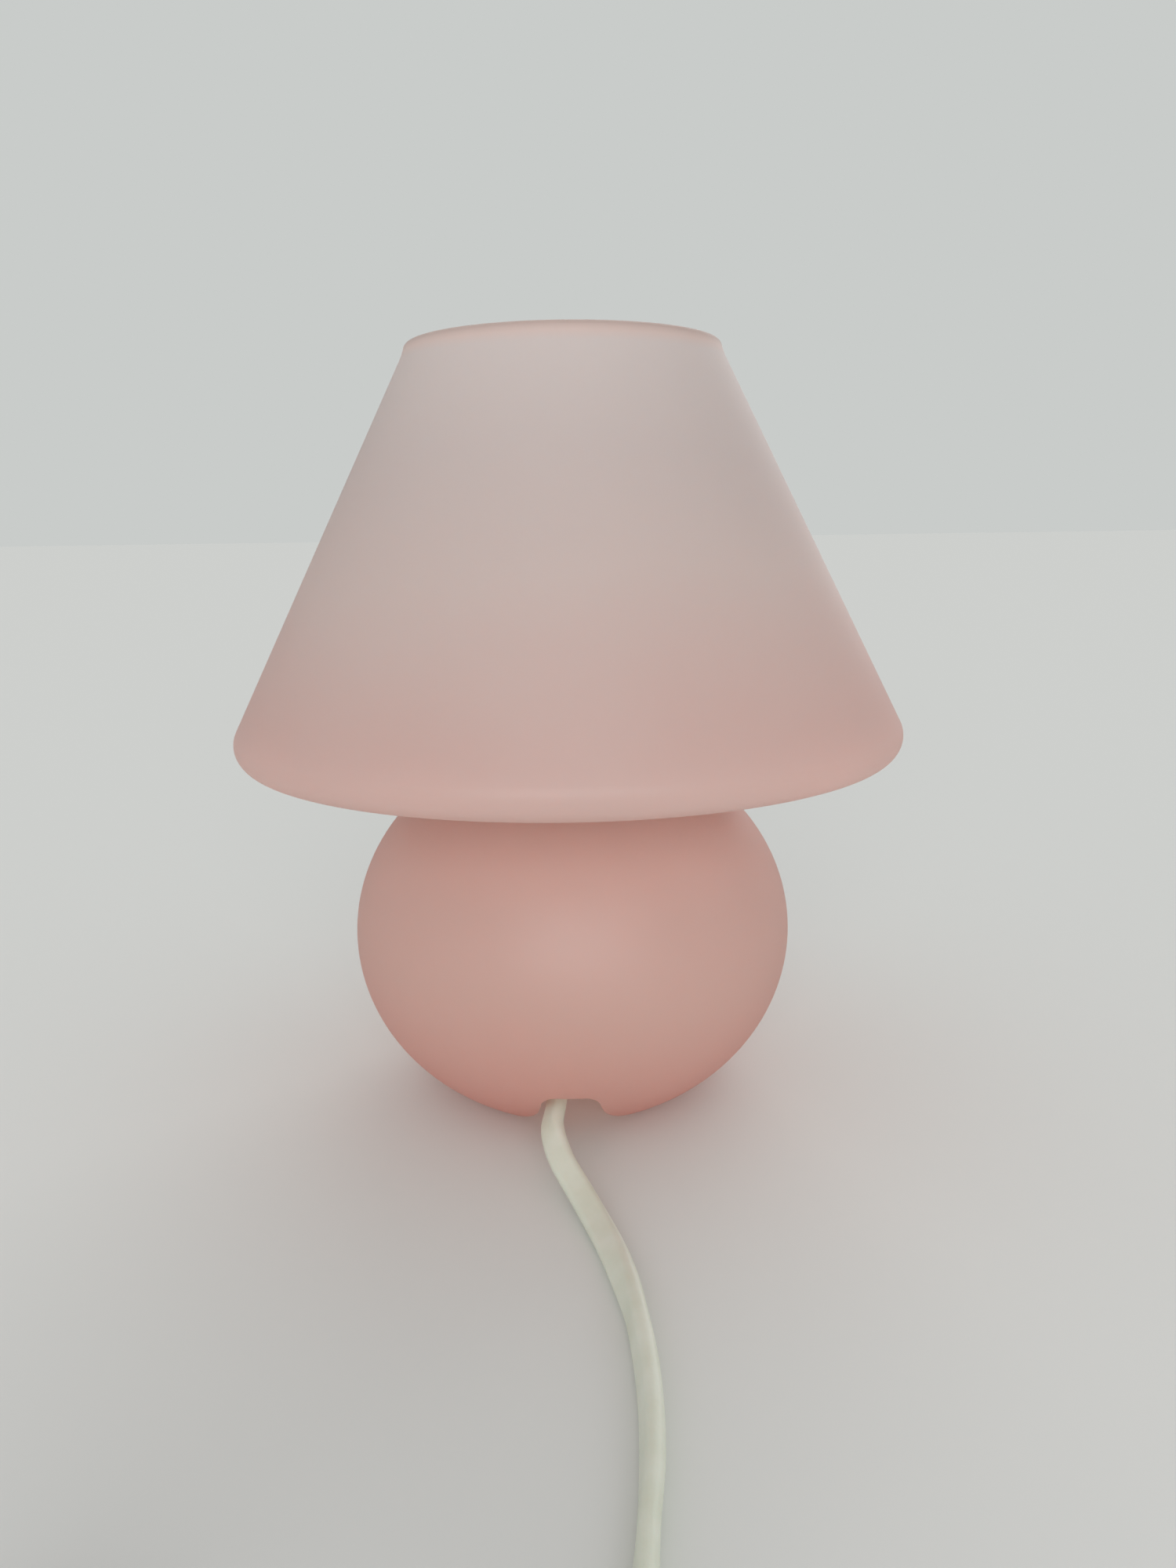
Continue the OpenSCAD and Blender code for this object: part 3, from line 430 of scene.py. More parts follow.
def prism(outline: Sequence[Point], rounds: Sequence[tuple[Sequence[int], float]], along: Point,
          segments: int = 8) -> BMesh:
    """Extrude a flat outline, some of its corners rounded.

    Args:
        outline: Its corners in turn.
        rounds: Numbers of the corners to round, with their radius.
        along: Direction and length of the extrusion.
        segments: Edges of each round.

    Returns:
        Closed bmesh of the prism.
    """
    bm = bmesh.new()
    verts = [bm.verts.new(corner) for corner in outline]
    bm.faces.new(verts)
    for numbers, radius in rounds:
        rounded(bm, [verts[n] for n in numbers], radius, segments)
    made = bmesh.ops.extrude_face_region(bm, geom=bm.faces[:])["geom"]
    bmesh.ops.translate(bm, verts=only(made, BMVert), vec=along)
    return outward(bm)


def slab_ring(bm: BMesh, long: float, short: float, place: Matrix, segments: int = 48) -> list[BMEdge]:
    """Add a flat-sided, round-ended ring.

    Args:
        bm: Bmesh that gets it.
        long: Its length, along X before it is placed.
        short: Its width.
        place: Where it goes.
        segments: Edges of the ring, a multiple of four.

    Returns:
        Its edges.
    """
    turn = Matrix.Rotation(math.pi / segments, 4, "Z")
    made = bmesh.ops.create_circle(bm, cap_ends=False, radius=short / 2, segments=segments, matrix=turn)
    verts = made["verts"]
    for side in (1, -1):
        half = [v for v in verts if v.co.x * side > 0]
        bmesh.ops.translate(bm, verts=half, vec=(side * (long - short) / 2, 0, 0))
    bmesh.ops.transform(bm, matrix=place, verts=verts)
    return list(dict.fromkeys(e for v in verts for e in v.link_edges))


def loft(bm: BMesh, rings: Sequence[list[BMEdge]], first: bool = True) -> None:
    """Span faces from ring to ring, and close the last one.

    Args:
        bm: Bmesh that holds the rings.
        rings: Edges of each ring in turn.
        first: Close the first ring too.
    """
    for a, b in zip(rings, rings[1:]):
        bmesh.ops.bridge_loops(bm, edges=a + b)
    for ring in (rings[0], rings[-1]) if first else rings[-1:]:
        bmesh.ops.edgeloop_fill(bm, edges=ring)


def box_tool(size: Point, centre: Point, edge: float = 0.0) -> BMesh:
    """Make a box to cut with.

    Args:
        size: Lengths along X, Y and Z.
        centre: Its middle.
        edge: Radius of its upright edges.

    Returns:
        Closed bmesh of the box.
    """
    bm = bmesh.new()
    bmesh.ops.create_cube(bm, size=1)
    bmesh.ops.scale(bm, vec=size, verts=bm.verts)
    if edge:
        rounded(bm, [e for e in bm.edges if abs(e.verts[0].co.z - e.verts[1].co.z) > WELD], edge)
    bmesh.ops.translate(bm, verts=bm.verts, vec=centre)
    return bm


def mesh_of(name: str, bm: BMesh) -> Mesh:
    """Turn a bmesh into a mesh.

    Args:
        name: Name of the mesh.
        bm: The bmesh, which is freed.

    Returns:
        The mesh.
    """
    mesh = bpy.data.meshes.new(name)
    bm.to_mesh(mesh)
    bm.free()
    return mesh


def put(name: str, data: ID) -> Object:
    """Put an object into the scene.

    Args:
        name: Name of the object.
        data: Its mesh, lamp or camera.

    Returns:
        The object.
    """
    made = bpy.data.objects.new(name, data)
    bpy.context.scene.collection.objects.link(made)
    return made


def joined(parts: Sequence[BMesh]) -> BMesh:
    """Put several bmeshes into one.

    Args:
        parts: Bmeshes to join; all but the first are freed.

    Returns:
        The first one, with the others in it.
    """
    for part in parts[1:]:
        mesh = mesh_of("joined_part", part)
        parts[0].from_mesh(mesh)
        bpy.data.meshes.remove(mesh)
    return parts[0]


def cut(bm: BMesh, tool: BMesh) -> BMesh:
    """Cut one closed bmesh out of another.

    Args:
        bm: Bmesh to cut, which is freed.
        tool: Bmesh of the space to remove, which is freed.

    Returns:
        A new bmesh of what is left.
    """
    sources = (("cut_stock", bm), ("cut_tool", tool))
    stock, cutter = (put(name, mesh_of(name, source)) for name, source in sources)
    modifier = stock.modifiers.new("cut", "BOOLEAN")
    modifier.object = cutter
    modifier.operation = "DIFFERENCE"
    modifier.solver = "EXACT"
    bpy.context.view_layer.update()
    done = bmesh.new()
    done.from_object(stock, bpy.context.evaluated_depsgraph_get())
    for made in (stock, cutter):
        mesh = made.data
        bpy.data.objects.remove(made)
        bpy.data.meshes.remove(mesh)
    return done


def make_piece(name: str, bm: BMesh, body: Body, slot: Slot, stands_for: Sequence[str],
               place: Point = (0, 0, 0), sharp: float = 40.0) -> Object:
    """Turn a bmesh in millimetres into a finished piece that rides on a body.

    Args:
        name: Name of the piece.
        bm: Its bmesh, which is freed.
        body: Body that it moves with.
        slot: Record slot of its finish.
        stands_for: CAD nodes that it replaces.
        place: Where its own origin goes, in millimetres.
        sharp: Angle in degrees over which an edge stays sharp.

    Returns:
        The object.
    """
    bmesh.ops.translate(bm, verts=bm.verts, vec=place)
    bmesh.ops.scale(bm, vec=(MM, MM, MM), verts=bm.verts)
    mesh = mesh_of(name, bm)
    mesh.polygons.foreach_set("use_smooth", [True] * len(mesh.polygons))
    mesh.set_sharp_from_angle(angle=math.radians(sharp))
    mesh.materials.append(FINISH_OF[slot].material())
    piece = put(name, mesh)
    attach(piece, body.value)
    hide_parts(*stands_for)
    LOG.info("%s: %d faces on %s", name, len(mesh.polygons), body.value)
    return piece


class ProfilePen:
    """Draws a section in the XZ plane with bmesh operators, in millimetres, to be spun round the Z axis."""

    def __init__(self, start: Point) -> None:
        """Put the pen down.

        Args:
            start: Radius and height of the first point.
        """
        self.bm = bmesh.new()
        self.first = self.bm.verts.new((start[0], 0, start[1]))
        self.tip = self.first

    def line_to(self, point: Point) -> BMVert:
        """Draw a straight edge.

        Args:
            point: Radius and height of its end.

        Returns:
            The vertex at its end.
        """
        made = bmesh.ops.extrude_vert_indiv(self.bm, verts=[self.tip])
        self.tip = made["verts"][0]
        bmesh.ops.translate(self.bm, verts=[self.tip], vec=Vector((point[0], 0, point[1])) - self.tip.co)
        return self.tip

    def run(self, points: Sequence[Point]) -> list[BMVert]:
        """Draw straight edges from point to point, and give the vertices at their ends."""
        return [self.line_to(point) for point in points]

    def arc(self, centre: Point, sweep: float, steps: int, squeeze: float = 1.0) -> None:
        """Draw an arc from the pen's point.

        Args:
            centre: Radius and height of the centre.
            sweep: Angle in degrees, positive from radius towards height.
            steps: Edges of the arc.
            squeeze: Height of the arc's ellipse over its radius.
        """
        hub = Vector((centre[0], 0, centre[1]))
        space = Matrix.Translation(-hub)
        before = set(self.bm.verts)
        bmesh.ops.scale(self.bm, vec=(1, 1, 1 / squeeze), space=space, verts=[self.tip])
        made = bmesh.ops.spin(self.bm, geom=[self.tip], cent=hub, axis=(0, -1, 0), angle=math.radians(sweep),
                              steps=steps, use_duplicate=False)
        drawn = [v for v in self.bm.verts if v not in before]
        bmesh.ops.scale(self.bm, vec=(1, 1, squeeze), space=space, verts=drawn + [self.tip])
        self.tip = only(made["geom_last"], BMVert)[0]

    def close(self) -> None:
        """Join the pen's point to the first one."""
        bmesh.ops.contextual_create(self.bm, geom=[self.tip, self.first])

    def spun(self, steps: int) -> BMesh:
        """Spin the section a full turn.

        Args:
            steps: Faces round the turn.

        Returns:
            The spun bmesh, still in millimetres.
        """
        bmesh.ops.spin(self.bm, geom=self.bm.verts[:] + self.bm.edges[:], cent=(0, 0, 0), axis=(0, 0, 1),
                       angle=2 * math.pi, steps=steps, use_merge=True)
        bmesh.ops.remove_doubles(self.bm, verts=self.bm.verts, dist=WELD)
        return outward(self.bm)


@dataclass
class GlassShell:
    """One-piece glass: open rim, conical shade, fold, ball and ground foot with a cord notch. Millimetres."""

    lamp_h: float = 200.0
    rim_r: float = 40.5
    lip_h: float = 3.0
    lip_lean: float = 0.5
    lip_round: float = 1.2
    shade_r: float = 88.5
    shade_z: float = 101.4
    shoulder_r: float = 6.0
    ball_r: float = 60.3
    ball_c: float = 53.0
    ball_z: float = 44.9
    waist_r: float = 28.0
    fold_r: float = 5.0
    glass_t: float = 3.0
    foot_lift: float = 1.2
    foot_edge: float = 0.5
    notch_h: float = 16.4
    notch_top_w: float = 13.4
    notch_foot_w: float = 20.0
    notch_round: float = 3.0
    notch_flare: float = 8.0
    notch_lift: float = 1.9
    notch_lead: float = 18.0
    notch_sink: float = 0.475
    notch_under: float = 1.0
    notch_past: float = 5.0
    steps: int = 200

    def on_ball(self, angle: float) -> tuple[Vector, float]:
        """Find a point of the ball, which is a little flatter than round.

        Args:
            angle: Its angle in degrees, before the ball is flattened.

        Returns:
            The point's radius and height, and the bearing of its normal.
        """
        across, up = polar(angle)
        normal = Vector((across / self.ball_r, up / self.ball_c))
        return Vector((self.ball_r * across, self.ball_z + self.ball_c * up)), bearing(normal)

    def section(self) -> ProfilePen:
        """Draw the glass's section: over the rim, down the outside and back up the inside.

        Returns:
            The pen with the closed section.
        """
        t = self.glass_t
        shoulder = Vector((self.shade_r - self.shoulder_r, self.shade_z))
        rim = Vector((self.rim_r - t / 2, self.lamp_h - t / 2))
        lip_foot = Vector((self.rim_r + self.lip_lean, self.lamp_h - self.lip_h))
        lip_a = math.degrees(math.atan(self.lip_lean / self.lip_h))
        to_lip = lip_foot - shoulder
        cone_a = bearing(to_lip) - math.degrees(math.acos(self.shoulder_r / to_lip.length))
        lip_turn = (cone_a - lip_a) / 2
        ball = Vector((0, self.ball_z))
        waist_t = math.degrees(math.acos(self.waist_r / self.ball_r))
        waist, waist_a = self.on_ball(waist_t)
        fold = waist + self.fold_r * polar(waist_a)
        to_fold = fold - shoulder
        under_a = bearing(to_fold) + math.degrees(math.acos((self.shoulder_r + self.fold_r) / to_fold.length))
        under_a -= 360 if under_a > 0 else 0
        foot_t = -math.degrees(math.asin((self.ball_z - self.foot_lift) / self.ball_c))
        foot_at, foot_a = self.on_ball(foot_t)
        foot = foot_at - self.foot_lift / (1 + polar(foot_a)[1]) * polar(foot_a)
        inner_r, inner_c = self.ball_r - t, self.ball_c - t
        inner_foot_t = -math.degrees(math.asin(self.ball_z / inner_c))
        inner_waist = fold - (self.fold_r + t) * polar(waist_a)
        inner_waist_t = math.degrees(math.acos(inner_waist[0] / inner_r))

        pen = ProfilePen(rim + t / 2 * polar(lip_a + 180))
        pen.arc(rim, -180, steps=16)
        lip = pen.line_to(lip_foot)
        pen.line_to(shoulder + self.shoulder_r * polar(cone_a))
        pen.arc(shoulder, under_a - cone_a, steps=20)
        pen.line_to(fold - self.fold_r * polar(under_a))
        pen.arc(fold, waist_a - under_a, steps=24)
        pen.arc(ball, foot_t - waist_t, steps=56, squeeze=self.ball_c / self.ball_r)
        pen.arc(foot, -90 - foot_a, steps=8)
        inner_foot = pen.line_to((inner_r * polar(inner_foot_t)[0], 0))
        pen.arc(ball, inner_waist_t - inner_foot_t, steps=40, squeeze=inner_c / inner_r)
        pen.line_to(inner_waist)
        pen.arc(fold, under_a - waist_a, steps=18)
        pen.line_to(shoulder + (self.shoulder_r - t) * polar(under_a))
        pen.arc(shoulder, cone_a - under_a, steps=14)
        inner_lip = pen.line_to(lip_foot - t / math.cos(math.radians(lip_turn)) * polar(lip_a + lip_turn))
        pen.close()
        rounded(pen.bm, [lip, inner_lip], self.lip_round)
        rounded(pen.bm, [inner_foot], self.foot_edge)
        return pen

    def notch(self) -> BMesh:
        """Make the space of the cord notch: slanted sides, rounded above and flared at the foot.

        Returns:
            Closed bmesh of the space to remove.
        """
        low, top = self.notch_foot_w / 2, self.notch_top_w / 2
        wide = low + self.notch_lead
        right = [(wide, 0, -self.notch_under), (wide, 0, -self.notch_sink), (low, 0, self.notch_lift),
                 (top, 0, self.notch_h)]
        outline = right + [(-x, y, z) for x, y, z in reversed(right)]
        rounds = [((3, 4), self.notch_round), ((2, 5), self.notch_flare)]
        return prism(outline, rounds, (0, -self.ball_r - self.notch_past, 0))

    def build(self) -> None:
        """Spin the glass, cut the notch and dress it."""
        glass = cut(self.section().spun(self.steps), self.notch())
        make_piece("glass_shell_satin", glass, Body.LAMP, Slot.GLASS, ["glass_shell"])


@dataclass
class FlatFlex:
    """Flat flex on the table: lead to the switch, then link, coil and tail to the plug. Millimetres.

    A route's points are x, y, z and roll in degrees. The flex comes free at its second point.
    """

    width: float = 6.2
    thick: float = 3.7
    corner: float = 1.6
    corner_steps: int = 5
    coil_r: float = 42.0
    coil_loops: int = 3
    coil_step: float = 4.6
    layer_step: float = 6.8
    coil_dip: float = 2.2
    coil_centre: tuple[float, float, float] = (-29.5, -306.0, 4.5)
    rings_per_turn: int = 60
    spacing: float = 2.0
    rest_gap: float = 0.05
    lead_route: tuple[tuple[float, ...], ...] = (
        (0, 0, 60.8, 0), (0, 0, 52.5, 0), (0, -2, 40, 0), (0, -9, 29, 8), (-1, -20, 20.5, 20),
        (-2.6, -33, 15.5, 38), (-3.8, -46, 12, 50), (-4.4, -54, 10, 42), (-2, -63, 7.2, 22),
        (2.4, -72, 4.4, 15), (6.6, -82, 2.7, 18), (9.8, -92, 2.6, 30), (12.4, -103, 3, 52),
        (14.4, -114, 3.2, 75), (15.8, -127, 3.2, 72), (16.3, -140, 3.2, 72), (15.9, -153, 3.2, 75),
        (14.7, -166, 3.2, 85), (13.4, -179, 3.4, 62), (12.6, -191, 4.6, 24), (12.5, -202, 6.2, 0),
        (12.5, -208, 6.5, 0), (12.5, -217, 6.5, 0))
    link_route: tuple[tuple[float, ...], ...] = (
        (12.5, -257, 6.5, 0), (12.5, -266, 6.5, 0), (12.5, -275, 6, 25), (12.5, -285, 5.2, 60),
        (12.5, -294, 4.5, 90), (12.5, -299.8, 4.5, 90))
    tail_route: tuple[tuple[float, ...], ...] = (
        (-71.5, -299.8, 11.3, -90), (-71.5, -293, 11.3, -90), (-71.5, -283, 10, -124),
        (-71.5, -273, 8.2, -162), (-71.5, -262, 6.85, -180), (-71.5, -253, 6.85, -180))

    def smoothed(self, route: Sequence[Point]) -> list[tuple[float, ...]]:
        """Run one smooth curve through a route's points.

        Args:
            route: Points as x, y, z and roll.

        Returns:
            Closer points of the same form.
        """
        out: list[tuple[float, ...]] = []
        for i in range(len(route) - 1):
            a, b, c, d = (route[min(max(k, 0), len(route) - 1)] for k in (i - 1, i, i + 1, i + 2))
            count = max(2, round((Vector(c[:3]) - Vector(b[:3])).length / self.spacing))
            for u in (k / count for k in range(count)):
                out.append(tuple(
                    0.5 * (2 * q + (r - p) * u + (2 * p - 5 * q + 4 * r - s) * u ** 2
                           + (3 * q - p - 3 * r + s) * u ** 3)
                    for p, q, r, s in zip(a, b, c, d)))
        return out + [tuple(route[-1])]

    def coil_points(self) -> list[tuple[float, ...]]:
        """Wind the coil: in by a layer, a climb in the half turn where it reverses, and out again on top.

        Returns:
            Points as x, y, z.
        """
        inner = self.coil_r - self.coil_step * self.coil_loops
        turns = 2 * self.coil_loops + 0.5
        x0, y0, z0 = self.coil_centre
        points = []
        for k in range(round(turns * self.rings_per_turn) + 1):
            u = k / self.rings_per_turn
            climb = min(max(2 * (u - self.coil_loops), 0), 1)
            if u <= self.coil_loops:
                reach = self.coil_r - self.coil_step * u
            elif climb < 1:
                reach = inner - self.coil_dip * math.sin(math.pi * climb)
            else:
                reach = inner + self.coil_step * (u - self.coil_loops - 0.5)
            rise = self.layer_step * climb ** 3 * (10 - 15 * climb + 6 * climb ** 2)
            angle = 2 * math.pi * u
            points.append((x0 + reach * math.cos(angle), y0 - reach * math.sin(angle), z0 + rise))
        return points

    def stations(self, points: Sequence[Point]) -> list[Matrix]:
        """Place the section along some points, and keep it on the table.

        Args:
            points: x, y, z and roll in degrees, or no roll where the width stands upright.

        Returns:
            One matrix for each point: width, thickness, heading and place.
        """
        places = []
        for i, point in enumerate(points):
            ahead = Vector(points[min(i + 1, len(points) - 1)][:3]) - Vector(points[max(i - 1, 0)][:3])
            heading = ahead.normalized()
            if len(point) > 3:
                side = (Vector((1, 0, 0)) - heading[0] * heading).normalized()
                roll = math.radians(point[3])
                wide = math.cos(roll) * side + math.sin(roll) * heading.cross(side)
            else:
                wide = (Vector((0, 0, 1)) - heading[2] * heading).normalized()
            thin = heading.cross(wide)
            reach = (abs(wide[2]) * (self.width / 2 - self.corner)
                     + abs(thin[2]) * (self.thick / 2 - self.corner)
                     + self.corner * math.hypot(wide[2], thin[2]))
            place = Vector(point[:3])
            place.z = max(place.z, reach + self.rest_gap)
            places.append(Matrix.Translation(place) @ Matrix((wide, thin, heading)).transposed().to_4x4())
        return places

    def tube(self, places: Sequence[Matrix]) -> BMesh:
        """Sweep the section through its places and close both ends.

        Args:
            places: Matrices of the section.

        Returns:
            Closed bmesh of the flex.
        """
        half_w, half_t = self.width / 2, self.thick / 2
        corners = [(x * half_w, y * half_t, 0) for x, y in ((1, 1), (-1, 1), (-1, -1), (1, -1))]
        bm = rounded_ring(corners, self.corner, self.corner_steps)
        edges = bm.edges[:]
        bmesh.ops.transform(bm, matrix=places[0], verts=bm.verts)
        bmesh.ops.edgeloop_fill(bm, edges=edges)
        for before, after in zip(places, places[1:]):
            made = bmesh.ops.extrude_edge_only(bm, edges=edges)["geom"]
            verts = only(made, BMVert)
            edges = [e for e in only(made, BMEdge) if all(v in verts for v in e.verts)]
            bmesh.ops.transform(bm, matrix=after @ before.inverted(), verts=verts)
        bmesh.ops.edgeloop_fill(bm, edges=edges)
        return outward(bm)

    def lay(self, name: str, points: Sequence[Point], stands_for: Sequence[str]) -> None:
        """Args:
            name: Name of the piece.
            points: Its points, with or without roll.
            stands_for: CAD nodes that it replaces.
        """
        places = self.stations(points)
        piece = make_piece(name, self.tube(places), Body.LAMP, Slot.FLEX, stands_for, sharp=60)

    def build(self, on_switch: Sequence[Object], on_end: Sequence[Object]) -> None:
        """Lay both lengths of flex.

        Args:
            on_switch: Pieces of the switch; not used.
            on_end: Pieces of the plug and the tie; not used.
        """
        lead = self.smoothed(self.lead_route)
        self.lay("flex_lead", lead, ["cord_lead"])
        tail = self.smoothed(self.link_route) + self.coil_points() + self.smoothed(self.tail_route)
        self.lay("flex_tail", tail, ["cord_link", "cord_coil", "cord_tail"])


@dataclass(frozen=True)
class RoundThread:
    """A round thread, rolled in sheet or moulded. Millimetres."""

    crest_r: float
    deep: float
    low: float
    pitch: float = 2.82
    sheet: float = 0.2
    rounds: int = 4
    wave_steps: int = 10
    turn_steps: int = 56

    @property
    def high(self) -> float:
        """Give the height of its upper end."""
        return self.low + self.pitch * self.rounds

    def rolled(self) -> BMesh:
        """Spin one wave of the section with a rise, cut it off square at both ends and make it a sheet.

        Returns:
            Closed bmesh of the thread.
        """
        half, start, turns = self.deep / 2, self.low - self.pitch, self.rounds + 1
        wave = [(self.crest_r - half - half * math.cos(2 * math.pi * u), start + self.pitch * u)
                for u in (k / self.wave_steps for k in range(self.wave_steps + 1))]
        pen = ProfilePen(wave[0])
        pen.run(wave[1:])
        bm = pen.bm
        bmesh.ops.spin(bm, geom=bm.verts[:] + bm.edges[:], cent=(0, 0, 0), axis=(0, 0, 1),
                       dvec=(0, 0, self.pitch / self.turn_steps), angle=2 * math.pi * turns,
                       steps=self.turn_steps * turns)
        bmesh.ops.remove_doubles(bm, verts=bm.verts, dist=WELD)
        for height, keep_up in ((self.low, True), (self.high, False)):
            bmesh.ops.bisect_plane(bm, geom=bm.verts[:] + bm.edges[:] + bm.faces[:], plane_co=(0, 0, height),
                                   plane_no=(0, 0, 1), clear_inner=keep_up, clear_outer=not keep_up)
        bmesh.ops.dissolve_degenerate(bm, dist=SLIVER, edges=bm.edges)
        outward(bm)
        bmesh.ops.solidify(bm, geom=bm.faces[:], thickness=self.sheet)
        return outward(bm)


@dataclass
class Lampholder:
    """What the open mouth shows of the holder: threaded skirt and rolled screw shell. Millimetres."""

    skirt_r: float = 14.0
    skirt_low: float = 68.47
    skirt_t: float = 2.1
    skirt_steps: int = 96
    mouth_z: float = 116.88
    mouth_edge: float = 0.3
    chamfer: float = 0.8
    ledge_z: float = 91.88
    bore_r: float = 8.1
    shell_r: float = 7.4
    shell_t: float = 0.6
    shell_top: float = 114.88
    shell_lip: float = 0.27
    shell_steps: int = 72
    flange_r: float = 11.8
    thread_sink: float = 0.05
    thread_lap: float = 0.3
    skirt_thread: RoundThread = RoundThread(crest_r=14.0, deep=0.45, low=106.9, pitch=2.2, sheet=0.3)
    shell_thread: RoundThread = RoundThread(crest_r=7.88, deep=0.5, low=100.0, sheet=0.4)

    def body(self) -> BMesh:
        """Spin the skirt: bored for the shell, cut back under its thread and chamfered at the mouth.

        Returns:
            Closed bmesh of the skirt with its thread.
        """
        thread, inner = self.skirt_thread, self.skirt_r - self.skirt_t
        root = self.skirt_r - thread.deep - self.thread_sink
        pen = ProfilePen((self.bore_r, self.ledge_z))
        corners = pen.run((
            (self.bore_r, self.mouth_z), (root - self.chamfer, self.mouth_z),
            (root, self.mouth_z - self.chamfer), (root, thread.low),
            (self.skirt_r, thread.low - self.thread_lap), (self.skirt_r, self.skirt_low),
            (inner, self.skirt_low), (inner, self.ledge_z)))
        pen.close()
        rounded(pen.bm, corners[:2], self.mouth_edge)
        return joined([pen.spun(self.skirt_steps), thread.rolled()])

    def shell(self) -> BMesh:
        """Spin the shell's flange and plain ends, and roll its thread between them.

        Returns:
            Closed bmesh of the shell.
        """
        outer, thread = self.shell_r + self.shell_t, self.shell_thread
        low_end, high_end = thread.low + self.thread_lap, thread.high - self.thread_lap
        low = ProfilePen((self.shell_r, self.ledge_z - self.shell_t))
        low.run(((self.flange_r, self.ledge_z - self.shell_t), (self.flange_r, self.ledge_z),
                 (outer, self.ledge_z), (outer, low_end), (self.shell_r, low_end)))
        low.close()
        top = ProfilePen((self.shell_r, high_end))
        corners = top.run(((outer, high_end), (outer, self.shell_top), (self.shell_r, self.shell_top)))
        top.close()
        rounded(top.bm, corners[1:], self.shell_lip, segments=4)
        return joined([low.spun(self.shell_steps), top.spun(self.shell_steps), thread.rolled()])

    def build(self) -> None:
        """Make the skirt and the shell."""
        make_piece("holder_body_threaded", self.body(), Body.LAMP, Slot.WHITE, ["holder_body"])
        make_piece("screw_shell_rolled", self.shell(), Body.LAMP, Slot.BRASS, ["screw_shell"])


@dataclass
class GlobeBulb:
    """Frosted globe bulb with a rolled screw cap, counted from its contact. Millimetres."""

    contact_z: float = 94.68
    globe_r: float = 22.5
    globe_steps: int = 96
    glass_t: float = 0.8
    length: float = 78.0
    neck_r: float = 6.1
    neck_blend: float = 14.0
    neck_low: float = 16.0
    cap_low: float = 4.4
    cap_top: float = 24.0
    cap_edge: float = 0.2
    cap_steps: int = 72
    foot_in: float = 1.2
    foot_up: float = 0.6
    collar_in: float = 0.3
    thread_lead: float = 0.2
    thread_fade: float = 0.5
    bead_h: float = 1.1
    thread: RoundThread = RoundThread(crest_r=6.9, deep=0.55, low=8.22)

    def globe(self) -> BMesh:
        """Spin the globe and its neck: down the inside, round the neck's end and back up the outside.

        Returns:
            Closed bmesh of the glass.
        """
        centre = Vector((0, self.length - self.globe_r))
        rise = math.sqrt((self.globe_r + self.neck_blend) ** 2 - (self.neck_r + self.neck_blend) ** 2)
        blend = Vector((self.neck_r + self.neck_blend, centre[1] - rise))
        turn = bearing(centre - blend)
        pen = ProfilePen((0, self.length - self.glass_t))
        pen.arc(centre, turn - 270, steps=24)
        pen.arc(blend, 180 - turn, steps=8)
        pen.run(((self.neck_r - self.glass_t, self.neck_low), (self.neck_r, self.neck_low),
                 (self.neck_r, blend[1])))
        pen.arc(blend, turn - 180, steps=14)
        pen.arc(centre, 270 - turn, steps=40)
        return pen.spun(self.globe_steps)

    def collars(self) -> BMesh:
        """Spin the plain ends of the cap, which the thread runs out between.

        Returns:
            Closed bmesh of the collars and the core under the thread.
        """
        thread = self.thread
        crest, root = thread.crest_r, thread.crest_r - thread.deep
        inner, collar, rest = root - thread.sheet, crest - self.collar_in, crest - self.thread_lead
        bead = self.cap_top - self.bead_h
        pen = ProfilePen((crest - self.foot_in, self.cap_low))
        corners = pen.run((
            (collar, self.cap_low + self.foot_up), (collar, thread.low + self.thread_lead),
            (root, thread.low + self.thread_fade), (root, thread.high - self.thread_fade),
            (rest, thread.high - self.thread_lead), (rest, bead - self.collar_in),
            (crest, bead), (crest, self.cap_top),
            (inner, self.cap_top), (inner, self.cap_low + self.foot_in)))
        pen.close()
        rounded(pen.bm, corners[:2] + corners[4:8], self.cap_edge, segments=2)
        return pen.spun(self.cap_steps)

    def build(self) -> None:
        """Make the globe and the cap."""
        place = (0, 0, self.contact_z)
        make_piece("bulb_globe_frosted", self.globe(), Body.BULB, Slot.BULB, ["bulb_globe"], place)
        cap = joined([self.collars(), self.thread.rolled()])
        make_piece("bulb_cap_threaded", cap, Body.BULB, Slot.STEEL, ["bulb_cap"], place)


